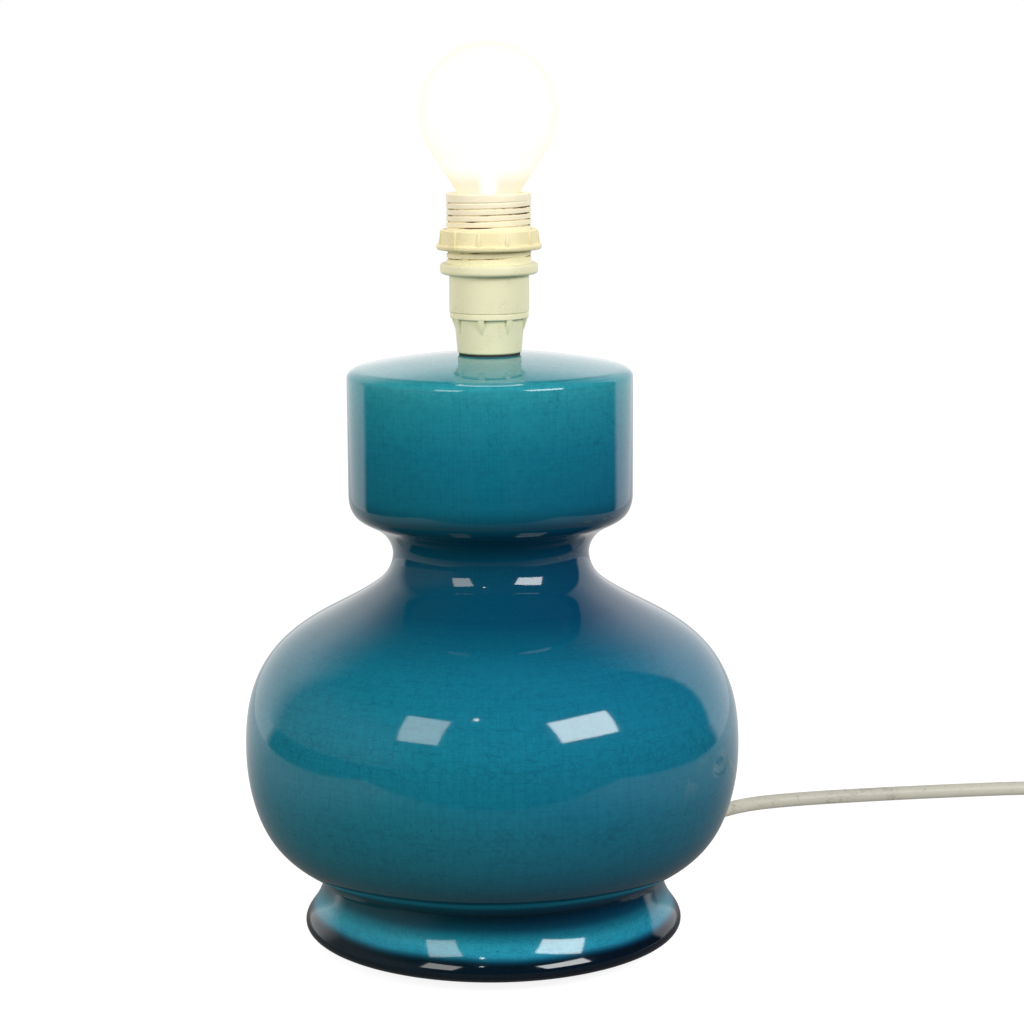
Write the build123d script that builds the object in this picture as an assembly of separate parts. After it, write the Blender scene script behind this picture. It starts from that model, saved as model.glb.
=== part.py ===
from build123d import *
import math
import os

# Ceramic table lamp: a glazed hollow body, a small screw lampholder with a shade ring,
# a golf-ball bulb, and a supply cord with a switch and a two-pin plug.
# Lengths are millimetres and angles degrees. Z is the lamp's axis and points up from the surface
# that the lamp stands on. The front is the side of -Y.

# Ceramic body: radii and heights of its outline
contact_r = 47.0
contact_width = 4.0
lip_r = 63.4
lip_z = 7.1
foot_wall_r = 56.85
foot_wall_z = 21.0
crease_r = 56.1
crease_z = 24.0
belly_r = 82.3
belly_z = 67.0
neck_r = 32.6
neck_z = 132.0
drum_r = 47.0
drum_foot_z = 152.0
drum_wall_top_z = 190.6
rim_width = 3.8
dome_top_z = 197.92
dome_rise = 5.3
seat_flat_out = 0.2
ceramic_wall = 6.0
drum_roof = 7.0
drum_corner_r = 4.0

# Shares of the way from one named ring of the outline to the next, as (radius, height)
sole_shares = [(0.515, 0.360)]
sole_lean = 0.15
foot_cove_shares = [(0.107, 0.158), (0.282, 0.277), (0.580, 0.496), (0.817, 0.748)]
lower_belly_shares = [(0.217, 0.070), (0.465, 0.162), (0.722, 0.326), (0.908, 0.581)]
upper_belly_shares = [
    (0.026, 0.231),
    (0.097, 0.385),
    (0.210, 0.508),
    (0.412, 0.631),
    (0.630, 0.723),
    (0.836, 0.815),
    (0.952, 0.892),
]
drum_foot_shares = [(0.157, 0.30), (0.521, 0.50), (0.856, 0.65), (0.968, 0.80)]
inner_wall_shares = [0.20, 0.35, 0.55, 0.75]
crease_corner_share = 0.45
inner_drum_foot_share = 0.6
dome_middle_share = 0.5

# Cord and its exit at the back of the body, low on the belly
cord_d = 5.4
exit_turn_deg = 60.0
exit_share = 0.386
exit_spot_fit = 0.6
exit_spot_depth = 1.2
bush_wall = 1.55
grommet_fit = 0.2
grommet_flange_out = 2.4
grommet_flange_t = 1.5
grommet_lip_out = 0.9
grommet_lip_t = 1.2
grommet_lip_clear = 1.3
sleeve_length = 22.0
sleeve_wall = 0.85
sleeve_taper = 1.3
cord_fit = 0.15
inner_bend_r = 60.0
core_d = 1.8
core_gap = 0.2
core_bend_r = 1.8
jacket_end_share = 0.33

# Threaded stem that clamps the holder on the body, with its washers and nut
stem_wall = 1.5
stem_cord_gap = 0.8
stem_hole_gap = 0.4
stem_edge = 0.3
stem_above = 5.6
stem_below = 2.6
thread_fit = 0.1
seat_washer_in = 0.5
seat_washer_t = 0.6
soft_washer_r = 13.0
soft_washer_t = 1.5
steel_washer_r = 14.0
steel_washer_t = 1.2
nut_across_flats = 14.0
nut_sides = 6
nut_t = 4.0

# Lower half of the lampholder: tapered cap with ribs under a band
cap_taper = 0.9
cap_shoulder_in = 1.45
cap_band_in = 0.2
cap_band_h = 2.0
cap_h = 13.4
cap_edge_r = 0.8
cap_floor = 5.9
cap_rib_count = 8
cap_rib_w = 2.3
cap_rib_tip_share = 0.25
cap_rib_h = 5.0
cap_rib_turn_deg = 32.0
cap_wall = 1.9
grub_r = 1.5
grub_length = 4.6
grub_height = 3.2
grub_slot = 0.5

# Upper half of the lampholder: smooth body, flange and threaded barrel
barrel_step = 0.75
holder_body_h = 12.3
holder_edge = 0.25
spigot_step = 1.2
spigot_wall = 1.3
spigot_h = 4.0
spigot_fit = 0.1
ledge_h = 1.5
flange_out = 2.2
flange_t = 3.6
flange_edge_r = 0.6
barrel_wall = 2.6
barrel_h = 22.6
barrel_land = 3.0
groove_pitch = 2.0
groove_depth = 0.6
groove_mouth = 0.9
groove_floor = 0.3

# Shade ring that runs on the barrel's thread
ring_gap_above_flange = 4.4
ring_fit = 0.15
ring_flange_out = 3.4
ring_flange_t = 1.8
ring_base_out = 2.4
ring_top_out = 2.1
ring_h = 6.6
ring_grip_count = 11
ring_grip_base_w = 1.7
ring_grip_top_w = 0.6
ring_grip_out = 0.7
ring_grip_edge_share = 0.25
ring_grip_turn_deg = 11.2

# Contact insert, screw shell, contacts and terminals inside the holder
insert_fit = 0.15
insert_t = 6.0
collar_wall = 1.75
collar_gap = 1.8
collar_h = 15.0
shell_bore_r = 7.1
shell_t = 0.4
shell_h = 17.0
shell_lip = 1.1
strip_t = 0.4
strip_w = 3.5
strip_rise = 0.8
strip_tip = 1.5
strip_past_rivet = 1.1
strip_bend = 2.4
terminal_inner_x = 3.3
terminal_gap = 1.0
terminal_w = 4.0
terminal_h = 4.6
terminal_wire_drop = 1.6
terminal_fit = 0.1
rivet_r = 0.7
rivet_in = 0.8
screw_r = 0.8
screw_head_r = 1.4
screw_head_t = 1.6
screw_slot = 0.4
screw_tip_gap = 0.2
core_end_in = 0.9

# Golf-ball bulb with a small screw cap
bulb_gap = 0.2
bulb_ball_r = 22.6
bulb_ball_up = 55.6
bulb_cone_deg = 33.0
bulb_neck_out = 0.5
bulb_neck_bend_r = 8.0
glass_t = 0.8
glass_fit = 0.1
tip_r = 3.0
tip_h = 1.0
insulator_fit = 0.1
insulator_h = 2.4
bulb_fit = 0.2
bulb_cap_t = 0.35
bulb_cap_h = 20.0
bulb_cap_straight = 12.6
bulb_thread_pitch = 2.82
bulb_thread_depth = 0.45
bulb_skirt_out = 0.95
bulb_skirt_rise = 1.2
stem_tube_r = 2.6
stem_flare_fit = 0.2
stem_flare_t = 0.8
stem_flare_rise = 2.4
stem_tube_h = 20.0
lead_r = 0.3
lead_spread = 9.0
lead_in = 1.5
lead_top = 51.0
lead_bottom = 5.0
lead_fit = 0.05
filament_r = 0.25
filament_sag = 5.0

# Rocker switch on the cord
switch_length = 60.0
switch_w = 24.0
switch_wall = 1.6
switch_base_h = 7.0
switch_cover_h = 6.5
switch_end_w = 15.0
switch_shoulder_share = 0.25
switch_corner_r = 4.0
switch_edge_r = 1.6
switch_seam = 0.3
window_length = 18.0
window_w = 11.0
rocker_length = 15.6
rocker_w = 10.2
rocker_end_h = 4.3
rocker_mid_h = 2.6
rocker_foot_h = 2.6
rocker_foot_length = 6.0
rocker_rest_deg = 8.0
pivot_r = 1.2
pivot_fit = 0.1
pivot_out = 1.3
pivot_z = 10.0
ear_t = 1.6
ear_w = 6.0
ear_below_share = 0.33
ear_into_top_share = 0.5
switch_screw_x = 7.0
switch_screw_y = 19.0
switch_screw_r = 1.1
switch_screw_head_r = 2.1
switch_screw_head_t = 1.6
switch_screw_recess = 0.6
switch_boss_r = 3.2
strip_length = 11.0
strip_place = 5.0
strip_tab_h = 3.6

# Two-pin plug
plug_relief_length = 22.0
plug_relief_tip_r = 3.4
plug_relief_root_r = 4.8
plug_relief_groove = 0.7
plug_relief_rings = 4
plug_length = 34.0
plug_face_w = 35.3
plug_back_w = 17.0
plug_face_run = 12.0
plug_t = 13.7
plug_edge_r = 2.4
pin_r = 2.0
pin_core_r = 1.5
pin_pitch = 18.6
pin_length = 19.0
pin_sleeve_length = 10.0
pin_sleeve_r = 1.75
pin_fit = 0.05
pin_nose_r = 1.2
pin_root = 6.0

# Put-away coil: half turns that spiral in on the lower layer and out again on the upper one
coil_inner_r = 21.5
coil_gap = 0.5
coil_half_turns_in = 7
coil_half_turns_out = 6
coil_skip_points = 12
coil_place = (259.0, 127.85)
floor_gap = 0.05

# Free routes of the cord, chosen by hand: lamp to coil, coil to switch, switch to plug
lamp_route = [
    (75.0, 122.5, 2.75),
    (95.0, 146.5, 2.75),
    (118.0, 155.0, 2.75),
    (149.0, 161.0, 2.75),
    (182.0, 166.0, 2.75),
    (217.0, 170.0, 2.75),
]
coil_route = [
    (289.0, 164.1, 8.65),
    (313.0, 160.0, 2.75),
    (328.5, 142.0, 2.75),
    (333.0, 121.0, 7.0),
]
switch_place = (333.0, 74.0)
plug_route = [
    (333.0, 28.0, 7.0),
    (325.5, 8.0, 2.75),
    (308.0, -3.0, 2.75),
    (288.5, -6.5, 6.85),
]
plug_place = (272.0, -6.5)
bend_share = 0.45

overrun = 1.0

core_r = core_d / 2

# Radii of the cord's exit and of the stem, from the cord outwards
cord_r = cord_d / 2
bush_bore_r = cord_r + cord_fit
exit_hole_r = bush_bore_r + bush_wall + grommet_fit
grommet_flange_r = exit_hole_r + grommet_flange_out
grommet_lip_r = exit_hole_r + grommet_lip_out
exit_spot_r = grommet_flange_r + exit_spot_fit
sleeve_tip_r = bush_bore_r + sleeve_wall
sleeve_root_r = sleeve_tip_r + sleeve_taper
stem_bore_r = cord_r + stem_cord_gap
stem_r = stem_bore_r + stem_wall
stem_hole_r = stem_r + stem_hole_gap

# Radii of the lampholder and the bulb's cap, from the screw shell outwards
shell_hole_r = shell_bore_r - shell_lip
collar_r = shell_bore_r + shell_t + insert_fit + collar_wall
holder_bore_r = collar_r + collar_gap
barrel_r = holder_bore_r + barrel_wall
flange_r = barrel_r + flange_out
ring_flange_r = barrel_r + ring_flange_out
ring_cone_base_r = barrel_r + ring_base_out
ring_cone_top_r = barrel_r + ring_top_out
holder_r = barrel_r - barrel_step
cap_band_r = holder_r - cap_band_in
cap_shoulder_r = cap_band_r - cap_shoulder_in
cap_bottom_r = cap_shoulder_r - cap_taper
seat_washer_r = cap_bottom_r - seat_washer_in
seat_flat_r = cap_bottom_r + seat_flat_out
spigot_r = holder_bore_r - spigot_step
spigot_bore_r = spigot_r - spigot_wall
terminal_outer_x = spigot_bore_r - terminal_gap
core_end_x = terminal_outer_x - core_end_in
neutral_rivet_x = terminal_outer_x - rivet_in
live_rivet_x = terminal_inner_x + rivet_in
strip_root = live_rivet_x + strip_past_rivet
bulb_cap_r = shell_bore_r - bulb_fit
bulb_skirt_r = bulb_cap_r + bulb_skirt_out
bulb_neck_r = bulb_cap_r + bulb_neck_out
insulator_r = bulb_cap_r - bulb_thread_depth - bulb_cap_t - insulator_fit
stem_flare_r = bulb_neck_r - glass_t - stem_flare_fit

# Heights that follow from the sizes above
seat_z = dome_top_z - dome_rise * (seat_flat_r / drum_r) ** 2
roof_z = seat_z - drum_roof
cap_z = seat_z + seat_washer_t
split_z = cap_z + cap_h
flange_z = split_z + holder_body_h
barrel_z = flange_z + flange_t
mouth_z = barrel_z + barrel_h
stem_top_z = cap_z + stem_above
soft_washer_z = roof_z - soft_washer_t
steel_washer_z = soft_washer_z - steel_washer_t
nut_z = steel_washer_z - nut_t
stem_bottom_z = nut_z - stem_below
ledge_z = split_z + ledge_h
insert_top_z = ledge_z + insert_t
terminal_z = ledge_z - terminal_h
wire_z = ledge_z - terminal_wire_drop
tip_z = insert_top_z + strip_t + strip_rise + bulb_gap
ball_z = tip_z + bulb_ball_up
bulb_skirt_z = tip_z + tip_h + insulator_h + bulb_cap_straight + bulb_skirt_rise
bulb_foot_z = bulb_skirt_z + 2 * glass_fit
ring_z = barrel_z + ring_gap_above_flange


def at(radius, height):
    return Vector(radius, 0, height)


def between(start, end, shares):
    """Points at shares of the way from one (radius, height) to another."""
    return [
        at(start[0] + (end[0] - start[0]) * r_share, start[1] + (end[1] - start[1]) * z_share)
        for r_share, z_share in shares
    ]


def inside(edge, shares, depth):
    """Points that lie a wall's depth inside an outline that runs upwards."""
    points = []
    for share in shares:
        along = edge % share
        points.append(edge @ share + Vector(-along.Z, 0, along.X) * depth)
    return points


def turned(*corners):
    """Solid turned about Z from corners of (radius, height) or (radius, height, rounding)."""
    places = [at(corner[0], corner[1]) for corner in corners]
    roundings = [corner[2] if len(corner) > 2 else 0 for corner in corners]
    if any(roundings):
        outline = FilletPolyline(*places, radius=roundings, close=True)
    else:
        outline = Polyline(*places, close=True)
    return revolve(make_face(outline), Axis.Z)


def ring(inner_r, outer_r, low_z, high_z):
    return turned((inner_r, low_z), (outer_r, low_z), (outer_r, high_z), (inner_r, high_z))


def post(radius, low_z, high_z):
    upright = (Align.CENTER, Align.CENTER, Align.MIN)
    return Pos(0, 0, low_z) * Cylinder(radius, high_z - low_z, align=upright)


def brick(low, high):
    size = [b - a for a, b in zip(low, high)]
    return Pos(*low) * Box(*size, align=(Align.MIN, Align.MIN, Align.MIN))


def bar(radius, low_x, high_x, y, z):
    """Round bar along X."""
    return Pos(low_x, y, z) * Rot(0, 90, 0) * post(radius, 0, high_x - low_x)


def tube(path, radius):
    return sweep(Plane(origin=path @ 0, z_dir=path % 0) * Circle(radius), path=path)


def bends(points):
    """Largest tangent arcs that a route's runs allow."""
    radii = []
    for before, here, after in zip(points, points[1:], points[2:]):
        run_in = here - before
        run_out = after - here
        turn = math.radians(run_in.get_angle(run_out))
        radii.append(bend_share * min(run_in.length, run_out.length) / math.tan(turn / 2))
    return radii


def free_cord(name, points):
    """Tube along straight runs that are joined by the largest tangent arcs."""
    points = [Vector(*point) for point in points]
    radii = bends(points)
    path = FilletPolyline(*points, radius=radii)
    solid = tube(path, cord_r)
    share = solid.volume / (math.pi * cord_r**2 * path.length)
    print(name, "length", round(path.length, 1), "volume share", round(share, 4))
    print(name, "bend radii", [round(radius, 1) for radius in radii])
    return solid


# Ceramic body


def lower_belly_line():
    crease, widest = (crease_r, crease_z), (belly_r, belly_z)
    points = [at(*crease), *between(crease, widest, lower_belly_shares), at(*widest)]
    first_run = points[1] - points[0]
    return Spline(*points, tangents=[first_run, Vector(0, 0, 1)])


def upper_belly_line():
    widest, neck = (belly_r, belly_z), (neck_r, neck_z)
    points = [at(*widest), *between(widest, neck, upper_belly_shares), at(*neck)]
    return Spline(*points, tangents=[Vector(0, 0, 1), Vector(0, 0, 1)])


def drum_foot_line():
    neck, wall = (neck_r, neck_z), (drum_r, drum_foot_z)
    points = [at(*neck), *between(neck, wall, drum_foot_shares), at(*wall)]
    return Spline(*points, tangents=[Vector(0, 0, 1), Vector(0, 0, 1)])


def dome_z(radius):
    return dome_top_z - dome_rise * (radius / drum_r) ** 2


def exit_plane():
    """Plane on the wall where the cord leaves, square to the wall, facing out."""
    line = lower_belly_line()
    along = line % exit_share
    plane = Plane(origin=line @ exit_share, x_dir=Vector(0, 1, 0), z_dir=Vector(along.Z, 0, -along.X))
    return plane, Rot(0, 0, exit_turn_deg)


def on_exit(solid):
    """Turn a piece that is made along Z, with the wall's face at zero, into the cord's exit."""
    plane, turn = exit_plane()
    return turn * (plane.location * solid)


def ceramic_outline():
    """Outer and inner outline of the body's wall, as one closed line."""
    up = Vector(0, 0, 1)
    ring_inner = at(contact_r - contact_width, 0)
    contact = at(contact_r, 0)
    lip = at(lip_r, lip_z)
    foot_wall = at(foot_wall_r, foot_wall_z)
    crease = at(crease_r, crease_z)
    corner_mid = at(
        crease_r + (foot_wall_r - crease_r) * crease_corner_share,
        foot_wall_z + (crease_z - foot_wall_z) * crease_corner_share,
    )
    sole = between((contact_r, 0), (lip_r, lip_z), sole_shares)
    cove = between((lip_r, lip_z), (foot_wall_r, foot_wall_z), foot_cove_shares)
    lower, upper, shoulder = lower_belly_line(), upper_belly_line(), drum_foot_line()
    rim_end_r = drum_r - rim_width
    rim_end = at(rim_end_r, dome_z(rim_end_r))
    rim_slope = Vector(-drum_r, 0, 2 * dome_rise * rim_end_r / drum_r)
    dome_mid_r = seat_flat_r + (rim_end_r - seat_flat_r) * dome_middle_share
    seat_edge = at(seat_flat_r, seat_z)
    drum_inner_r = drum_r - ceramic_wall
    inner_foot_z = drum_foot_z + ceramic_wall * inner_drum_foot_share
    inner_upper = inside(upper, [0, *inner_wall_shares, 1], ceramic_wall)
    inner_lower = inside(lower, [*inner_wall_shares, 1], ceramic_wall)
    inner_crease = at(crease_r - ceramic_wall, crease_z)
    return [
        Line(ring_inner, contact),
        Spline(contact, *sole, lip, tangents=[Vector(1, 0, sole_lean), up]),
        Spline(lip, *cove, foot_wall, tangents=[up, foot_wall - cove[-1]]),
        ThreePointArc(foot_wall, corner_mid, crease),
        lower,
        upper,
        shoulder,
        Line(at(drum_r, drum_foot_z), at(drum_r, drum_wall_top_z)),
        Spline(at(drum_r, drum_wall_top_z), rim_end, tangents=[up, rim_slope]),
        ThreePointArc(rim_end, at(dome_mid_r, dome_z(dome_mid_r)), seat_edge),
        Line(seat_edge, at(stem_hole_r, seat_z)),
        Line(at(stem_hole_r, seat_z), at(stem_hole_r, roof_z)),
        FilletPolyline(
            at(stem_hole_r, roof_z),
            at(drum_inner_r, roof_z),
            at(drum_inner_r, inner_foot_z),
            radius=drum_corner_r,
        ),
        Spline(at(drum_inner_r, inner_foot_z), inner_upper[-1], tangents=[-up, -up]),
        Spline(*reversed(inner_upper), tangents=[-up, -up]),
        Spline(*reversed(inner_lower), inner_crease, tangents=[-up, -up]),
        Polyline(inner_crease, at(crease_r - ceramic_wall, lip_z), ring_inner),
    ]


def ceramic_parts():
    """Body and drum, which are thrown apart and joined at the narrowest ring of the neck."""
    body = revolve(make_face(ceramic_outline()), Axis.Z)
    hole = post(exit_hole_r, -ceramic_wall * 2, overrun)
    spot = post(exit_spot_r, -exit_spot_depth, exit_spot_depth * 2)
    reach = belly_r + overrun
    above = brick((-reach, -reach, neck_z), (reach, reach, dome_top_z + overrun))
    return body - on_exit(hole + spot) - above, body & above


# Cord exit and the cord inside the body


def cord_grommet():
    """Rubber bush through the wall, with a tapered sleeve that the cord leaves by."""
    seat = -exit_spot_depth
    lip_top = -(ceramic_wall + grommet_lip_clear)
    neck_of_bush = exit_hole_r - grommet_fit
    flange_top = seat + grommet_flange_t
    return on_exit(
        turned(
            (bush_bore_r, lip_top - grommet_lip_t),
            (grommet_lip_r - grommet_fit, lip_top - grommet_lip_t),
            (grommet_lip_r, lip_top),
            (neck_of_bush, lip_top),
            (neck_of_bush, seat),
            (grommet_flange_r, seat),
            (grommet_flange_r, flange_top, grommet_fit * 2),
            (sleeve_root_r, flange_top),
            (sleeve_tip_r, flange_top + sleeve_length, grommet_fit),
            (bush_bore_r, flange_top + sleeve_length),
        )
    )


def sleeve_end():
    """Centre of the sleeve's end face, where the free cord starts."""
    plane, turn = exit_plane()
    out = grommet_flange_t - exit_spot_depth + sleeve_length
    return (turn * Pos(*(plane.origin + plane.z_dir * out))).position


def landing():
    """Point of the free cord where the line of its exit meets the height that it lies at."""
    plane, turn = exit_plane()
    start = sleeve_end()
    out = (turn * Pos(*plane.z_dir)).position
    return start + out * ((cord_r + floor_gap - start.Z) / out.Z)


def jacket_end_z():
    return stem_top_z + core_bend_r * jacket_end_share


def inner_cord():
    """Cord from the sleeve's end, through the wall, to the top of the threaded stem."""
    plane, _ = exit_plane()
    start = sleeve_end()
    meet_z = plane.origin.Z - plane.origin.X * plane.z_dir.Z / plane.z_dir.X
    path = FilletPolyline(start, Vector(0, 0, meet_z), Vector(0, 0, jacket_end_z()), radius=inner_bend_r)
    return tube(path, cord_r)


def core(side):
    """One insulated core, from the end of the jacket into its terminal."""
    x = side * (core_r + core_gap / 2)
    points = [(x, 0, jacket_end_z()), (x, 0, wire_z), (side * core_end_x, 0, wire_z)]
    return tube(FilletPolyline(*points, radius=core_bend_r), core_r)


# Threaded stem with its washers and nut


def threaded_stem():
    return turned(
        (stem_bore_r, stem_bottom_z),
        (stem_r - stem_edge, stem_bottom_z),
        (stem_r, stem_bottom_z + stem_edge),
        (stem_r, stem_top_z - stem_edge),
        (stem_r - stem_edge, stem_top_z),
        (stem_bore_r, stem_top_z),
    )


def lock_nut():
    hexagon = RegularPolygon(nut_across_flats / 2, nut_sides, major_radius=False)
    blank = Pos(0, 0, nut_z) * extrude(hexagon, nut_t)
    return blank - post(stem_r + thread_fit, nut_z - overrun, nut_z + nut_t + overrun)


# Lampholder


def cap_r_at(height):
    """Radius of the cap's tapered wall at a height above its bottom."""
    return cap_bottom_r + (cap_shoulder_r - cap_bottom_r) * height / (cap_h - cap_band_h)


def cap_rib():
    """Pointed rib under the band, narrowing to nothing on the tapered wall."""
    top = cap_z + cap_h - cap_band_h
    low = top - cap_rib_h
    low_r = cap_r_at(cap_h - cap_band_h - cap_rib_h)
    root_r = low_r - cap_wall / 2
    half, tip = cap_rib_w / 2, cap_rib_w * cap_rib_tip_share / 2
    side = make_face(
        Polyline(
            at(root_r, low),
            at(low_r, low),
            at(cap_band_r, top),
            at(root_r, top),
            close=True,
        )
    )
    front = make_face(
        Polyline(
            Vector(0, -half, top),
            Vector(0, half, top),
            Vector(0, tip, low),
            Vector(0, -tip, low),
            close=True,
        )
    )
    return extrude(side, cap_rib_w, both=True) & extrude(front, cap_band_r * 2, both=True)


def on_grub(solid):
    """Turn a piece made along Z, outwards from the stem, into the cap's back."""
    return Pos(0, stem_r + thread_fit, cap_z + grub_height) * Rot(-90, 0, 0) * solid


def holder_cap():
    top = cap_z + cap_h
    band_z = top - cap_band_h
    floor_z = cap_z + cap_floor
    spigot_z = top - spigot_h - spigot_fit
    cap = turned(
        (stem_r + thread_fit, cap_z),
        (cap_bottom_r, cap_z, cap_edge_r),
        (cap_shoulder_r, band_z),
        (cap_band_r, band_z),
        (cap_band_r, top, holder_edge),
        (spigot_r + spigot_fit, top),
        (spigot_r + spigot_fit, spigot_z),
        (spigot_bore_r, spigot_z),
        (spigot_bore_r, floor_z),
        (stem_r + thread_fit, floor_z),
    )
    for number in range(cap_rib_count):
        turn = cap_rib_turn_deg - 90 + number * 360 / cap_rib_count
        cap += Rot(0, 0, turn) * cap_rib()
    return cap - on_grub(post(grub_r + thread_fit, -overrun, cap_bottom_r))


def cap_grub_screw():
    screw = post(grub_r, thread_fit, grub_length)
    half = grub_slot / 2
    slot = brick((-grub_r * 2, -half, grub_length - grub_slot * 2), (grub_r * 2, half, cap_h))
    return on_grub(screw - slot)


def holder_barrel():
    """Smooth body, flange and barrel with ring grooves that stand for its thread."""
    solid = turned(
        (spigot_bore_r, split_z - spigot_h),
        (spigot_r, split_z - spigot_h),
        (spigot_r, split_z),
        (holder_r, split_z, holder_edge),
        (holder_r, flange_z),
        (flange_r, flange_z, flange_edge_r),
        (flange_r, barrel_z, flange_edge_r),
        (barrel_r, barrel_z),
        (barrel_r, mouth_z, holder_edge),
        (holder_bore_r, mouth_z, holder_edge),
        (holder_bore_r, ledge_z),
        (spigot_bore_r, ledge_z),
    )
    grooves = int((barrel_h - barrel_land) / groove_pitch)
    for number in range(grooves):
        z = mouth_z - barrel_land - number * groove_pitch
        solid -= turned(
            (barrel_r - groove_depth, z - groove_floor / 2),
            (barrel_r + groove_depth, z - groove_mouth),
            (barrel_r + groove_depth, z + groove_mouth),
            (barrel_r - groove_depth, z + groove_floor / 2),
        )
    return solid


def ring_grip():
    """Grip rib on the shade ring, wider at its foot."""
    low, high = ring_z + ring_flange_t / 2, ring_z + ring_h
    root_r = ring_cone_top_r - ring_grip_out
    edge = ring_grip_out * ring_grip_edge_share
    side = make_face(
        Polyline(
            at(root_r, low),
            at(ring_cone_base_r + ring_grip_out, low),
            at(ring_cone_top_r + edge, high - edge),
            at(root_r, high - edge),
            close=True,
        )
    )
    front = make_face(
        Polyline(
            Vector(0, -ring_grip_base_w / 2, low),
            Vector(0, ring_grip_base_w / 2, low),
            Vector(0, ring_grip_top_w / 2, high),
            Vector(0, -ring_grip_top_w / 2, high),
            close=True,
        )
    )
    return extrude(side, ring_grip_base_w, both=True) & extrude(front, ring_flange_r * 2, both=True)


def shade_ring():
    bore_r = barrel_r + ring_fit
    solid = turned(
        (bore_r, ring_z),
        (ring_flange_r, ring_z, holder_edge),
        (ring_flange_r, ring_z + ring_flange_t, holder_edge),
        (ring_cone_base_r, ring_z + ring_flange_t),
        (ring_cone_top_r, ring_z + ring_h, holder_edge),
        (bore_r, ring_z + ring_h),
    )
    for number in range(ring_grip_count):
        turn = -ring_grip_turn_deg - 90 + number * 360 / ring_grip_count
        solid += Rot(0, 0, turn) * ring_grip()
    return solid


# Inside the lampholder


def contact_insert():
    """Ceramic insert: a disc on the ledge and a collar round the screw shell."""
    solid = ring(0, holder_bore_r - insert_fit, ledge_z, insert_top_z)
    solid += ring(shell_bore_r + shell_t + insert_fit, collar_r, insert_top_z, insert_top_z + collar_h)
    for x in (live_rivet_x, -neutral_rivet_x):
        solid -= Pos(x, 0, 0) * post(rivet_r + terminal_fit, ledge_z - overrun, insert_top_z + overrun)
    return solid


def screw_shell():
    outer_r = shell_bore_r + shell_t
    return turned(
        (shell_hole_r, insert_top_z),
        (outer_r, insert_top_z),
        (outer_r, insert_top_z + shell_h),
        (shell_bore_r, insert_top_z + shell_h),
        (shell_bore_r, insert_top_z + shell_t),
        (shell_hole_r, insert_top_z + shell_t),
    )


def centre_contact():
    """Sprung strip that rises from its rivet to the middle of the shell."""
    low, high = insert_top_z, insert_top_z + strip_rise
    outline = Polyline(
        at(strip_root, low),
        at(strip_root, low + strip_t),
        at(strip_bend, low + strip_t),
        at(strip_tip, high + strip_t),
        at(-strip_tip, high + strip_t),
        at(-strip_tip, high),
        at(strip_tip, high),
        at(strip_bend, low),
        close=True,
    )
    return extrude(make_face(outline), strip_w / 2, both=True)


def terminal(side, rivet_x, rivet_top_z):
    """Brass block under the insert, with a wire hole, a screw hole and a rivet."""
    half = terminal_w / 2
    middle_x = (terminal_inner_x + terminal_outer_x) / 2
    block = brick((terminal_inner_x, -half, terminal_z), (terminal_outer_x, half, ledge_z))
    block -= bar(core_r + terminal_fit, terminal_inner_x - overrun, core_end_x + terminal_fit, 0, wire_z)
    block -= Pos(middle_x, 0, 0) * post(screw_r + terminal_fit, terminal_z - overrun, wire_z)
    block += Pos(rivet_x, 0, 0) * post(rivet_r, ledge_z, rivet_top_z)
    return block if side > 0 else Rot(0, 0, 180) * block


def terminal_screw():
    """Slotted screw that closes on the core from below."""
    middle_x = (terminal_inner_x + terminal_outer_x) / 2
    top = wire_z - core_r - screw_tip_gap
    low = terminal_z - screw_head_t
    screw = post(screw_r, terminal_z, top) + post(screw_head_r, low, terminal_z)
    half = screw_slot / 2
    slot = brick((-screw_head_r * 2, -half, low - overrun), (screw_head_r * 2, half, low + screw_slot))
    return Pos(middle_x, 0, 0) * (screw - slot)


# Bulb


def bulb_side(depth):
    """Half outline of the glass, set in by a depth: ball, cone and neck."""
    cone = math.radians(bulb_cone_deg)
    ball_r = bulb_ball_r - depth
    neck = bulb_neck_r - depth
    leave = at(ball_r * math.cos(cone), ball_z - ball_r * math.sin(cone))
    slant = (leave.X - neck) / math.sin(cone)
    corner = at(neck, leave.Z - slant * math.cos(cone))
    foot = at(neck, bulb_foot_z)
    bend_r = bulb_neck_bend_r + depth
    half = math.radians((90 - bulb_cone_deg) / 2)
    middle = at(ball_r * math.cos(half), ball_z + ball_r * math.sin(half))
    return [
        ThreePointArc(at(0, ball_z + ball_r), middle, leave),
        FilletPolyline(leave, corner, foot, radius=bend_r),
    ]


def bulb_glass():
    outer, inner = bulb_side(0), bulb_side(glass_t)
    foot = Line(outer[1] @ 1, inner[1] @ 1)
    crown = Line(inner[0] @ 0, outer[0] @ 0)
    return revolve(make_face([*outer, foot, *inner, crown]), Axis.Z)


def bulb_cap_shell():
    """Thin screw cap with rolled thread rings and a flared skirt."""
    low = tip_z + tip_h + insulator_h
    straight_z = low + bulb_cap_straight
    top = tip_z + bulb_cap_h
    root_r = bulb_cap_r - bulb_thread_depth
    outer = [at(root_r, low)]
    threads = int(bulb_cap_straight / bulb_thread_pitch)
    for number in range(threads):
        z = low + number * bulb_thread_pitch
        outer.append(at(bulb_cap_r, z + bulb_thread_pitch / 2))
        outer.append(at(root_r, z + bulb_thread_pitch))
    outer += [at(root_r, straight_z), at(bulb_skirt_r, bulb_skirt_z), at(bulb_skirt_r, top)]
    inner = [point - Vector(bulb_cap_t, 0, 0) for point in reversed(outer)]
    return revolve(make_face(Polyline(*outer, *inner, close=True)), Axis.Z)


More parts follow.
